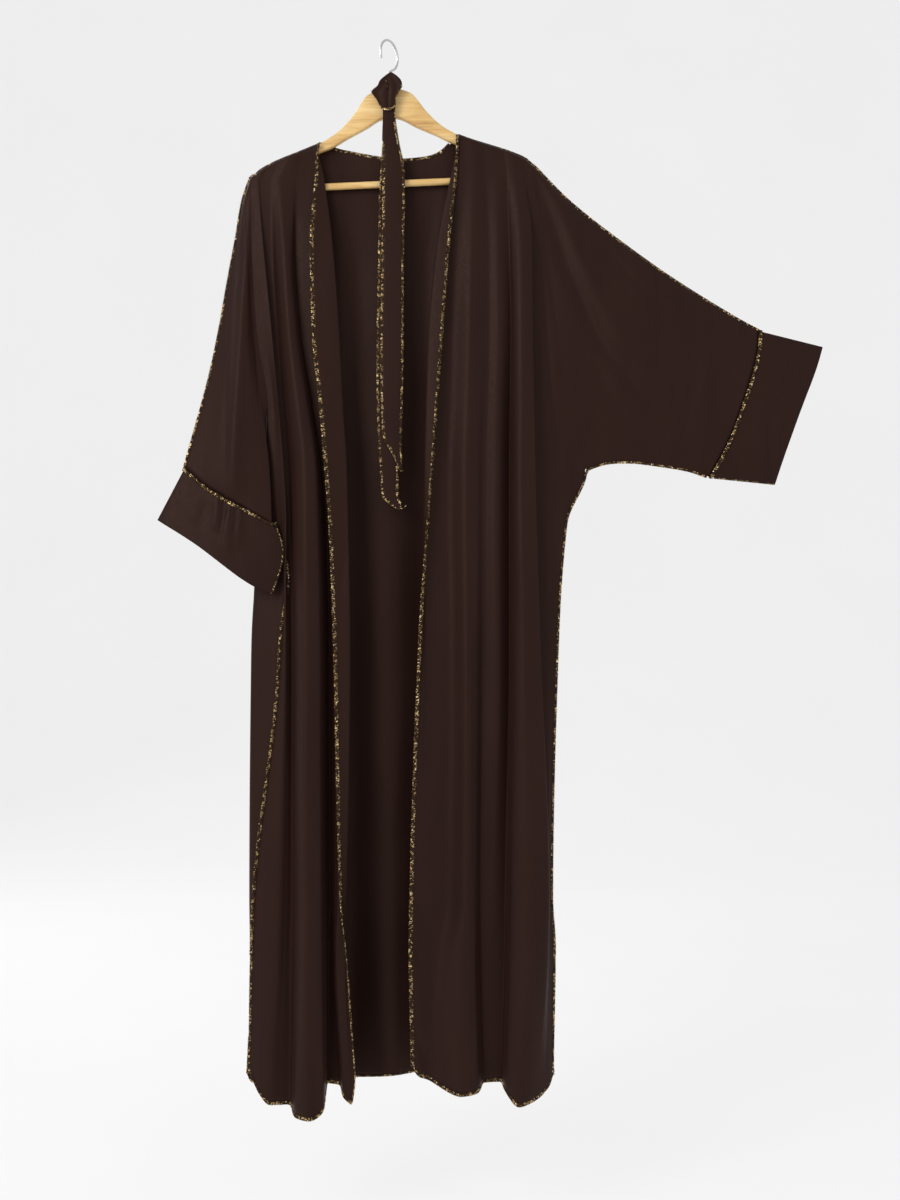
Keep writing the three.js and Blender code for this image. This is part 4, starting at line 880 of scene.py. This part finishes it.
def hanger_wood():
    """The wood: sections from its top edge to its foot, each a rounded box, from end to end."""
    outs = np.concatenate([np.linspace(0, 186, 110), np.linspace(186.3, 188, 5), np.linspace(188.8, HALF_SPAN, 22)])
    outs = np.concatenate([-outs[::-1], outs[1:]])
    size = np.abs(outs)
    top, foot = smooth(*WOOD_TOP, size), smooth(*WOOD_FOOT, size)
    end = np.clip((HALF_SPAN - size) / WOOD_END, 0, 1)
    slim = np.sqrt(np.maximum(0, 1 - (1 - end) ** 2))
    middle, half = (top + foot) / 2, (top - foot) / 2
    angle = np.linspace(0, 2 * np.pi, WOOD_SIDES, endpoint=False) + np.pi / WOOD_SIDES
    rings = []
    for out, mid, tall, thin in zip(outs, middle, half, np.maximum(slim, 0.05)):
        radius = min(WOOD_CORNER, tall * 0.9)
        cx, cz = WOOD_THICKNESS / 2 * (0.55 + 0.45 * thin) - radius, max(tall - radius, 0.2)
        y = np.sign(np.cos(angle)) * max(cx, 0.1) + radius * np.cos(angle)
        z = np.sign(np.sin(angle)) * cz + radius * np.sin(angle)
        rings.append(hanger_point(np.full(WOOD_SIDES, out), mid + z, y))
    ring_piece("hanger_wood", rings, WOOD, ["hanger_body"], sharp=50)


def round_bar():
    """The round rod, with its ends rounded over."""
    lengths = np.concatenate([[-BAR_HALF, -BAR_HALF + 0.4, -BAR_HALF + 1.2], np.linspace(-180, 180, 60),
                              [BAR_HALF - 1.2, BAR_HALF - 0.4, BAR_HALF]])
    radii = np.full(len(lengths), BAR_RADIUS)
    radii[[0, -1]], radii[[1, -2]] = BAR_RADIUS - 1.2, BAR_RADIUS - 0.4
    angle = np.linspace(0, 2 * np.pi, BAR_SIDES, endpoint=False)
    rings = [hanger_point(np.full(BAR_SIDES, at), -BAR_DROP + r * np.sin(angle), r * np.cos(angle))
             for at, r in zip(lengths, radii)]
    ring_piece("hanger_bar", rings, WOOD, ["trouser_bar"], sharp=50)


def tube(name, points, radius, sides, finish, nodes=()):
    """A round wire or thread along points."""
    along = unit(np.gradient(points, axis=0))
    side = np.empty_like(points)
    side[0] = unit(np.cross(along[0], [0.3, 1, 0.2]))
    for i in range(1, len(points)):
        side[i] = unit(side[i - 1] - along[i] * np.dot(side[i - 1], along[i]))
    other = np.cross(along, side)
    radius = np.broadcast_to(radius, (len(points),))
    angle = np.linspace(0, 2 * np.pi, sides, endpoint=False)
    rings = points[:, None] + radius[:, None, None] * (
        side[:, None] * np.cos(angle)[None, :, None] + other[:, None] * np.sin(angle)[None, :, None])
    return ring_piece(name, rings, finish, nodes)


degrees = np.radians([205, 190, 170, 150, 130, 110, 90, 70, 50, 30, 10, -10, -30, -50])
bend = HOOK_RADIUS * 1.09  # radius of the wire's middle
loop = [(bend * math.cos(a), -HOOK_RADIUS + bend * math.sin(a)) for a in degrees]
stem = [(7.5, -41), (2, -44.6), (0, -48.4), (0, -53), (0, -62), (0, HOOK_FOOT)]
wire = Line([[HOOK_STEM + out * math.cos(HOOK_TURN), out * math.sin(HOOK_TURN), z] for out, z in loop + stem])
wire_points = wire.at(np.linspace(0, 1, 180))
wire_radius = np.full(len(wire_points), HOOK_WIRE)
wire_radius[:2] = [0.9, 1.5]

hanger_wood()
round_bar()
tube("hook_wire", wire_points, wire_radius, 16, STEEL, ["hook"])
tail_end = Line([(17, -12.6, -700), (20, -13.4, -700.5), (24, -13.6, -698.5), (28, -13.2, -695)])
loose_thread = tube("belt_loose_thread", tail_end.at(np.linspace(0, 1, 30)), 0.5, 6, THREAD)

# ---- floor and light
FLOOR, BEND_FROM, BEND_RADIUS = -1.78, 3.0, 2  # metres: the floor turns up into the backdrop
sweep_rows = [(-6.0, FLOOR), (BEND_FROM, FLOOR)]
sweep_rows += [(BEND_FROM + BEND_RADIUS * math.sin(a), FLOOR + BEND_RADIUS - BEND_RADIUS * math.cos(a))
               for a in np.linspace(0.1, math.pi / 2, 16)]
sweep_rows += [(BEND_FROM + BEND_RADIUS, 6.0)]
mesh = bpy.data.meshes.new("backdrop")
mesh.from_pydata([(x, y, z) for y, z in sweep_rows for x in (-9, 9)], [], quads(len(sweep_rows), 2))
mesh.polygons.foreach_set("use_smooth", [True] * len(mesh.polygons))
paper = Look("paper", Roughness=0.9, Specular_IOR_Level=0.1, Emission_Color=(1, 1, 1, 1), Emission_Strength=0.645)
paper.put(paper.shader, Base_Color=paper.greys(paper.noise(paper.space(1, 1, 1), 2.0, 2), 0.3, 0.24, 0.7, 0.25))
mesh.materials.append(paper.made)
backdrop = bpy.data.objects.new("backdrop", mesh)
bpy.context.collection.objects.link(backdrop)

scene = bpy.context.scene
scene.view_settings.view_transform = "Standard"
world = bpy.data.worlds.new("studio")
scene.world = world
world.use_nodes = True
sky = world.node_tree.nodes["Background"].inputs
sky["Color"].default_value = (0.85, 0.85, 0.855, 1)
sky["Strength"].default_value = 0.85


def area_light(name, spot, size, power, colour=(1, 1, 1), aim=(0, 0, -0.8)):
    data = bpy.data.lights.new(name, "AREA")
    data.shape = "RECTANGLE"
    data.size, data.size_y = size
    data.energy = power
    data.color = colour
    light = bpy.data.objects.new(name, data)
    light.location = spot
    light.rotation_mode = "QUATERNION"
    light.rotation_quaternion = (Vector(aim) - Vector(spot)).to_track_quat("-Z", "Y")
    bpy.context.collection.objects.link(light)


area_light("key", (-1.9, -2.6, 0.6), (1.4, 2.2), 60, (1.0, 0.985, 0.96))
area_light("fill", (2.3, -2.2, -0.2), (1.6, 2.4), 7, aim=(0.1, 0, -0.8))
area_light("rear", (-1.8, 2.3, 0.6), (1.4, 2.0), 44)
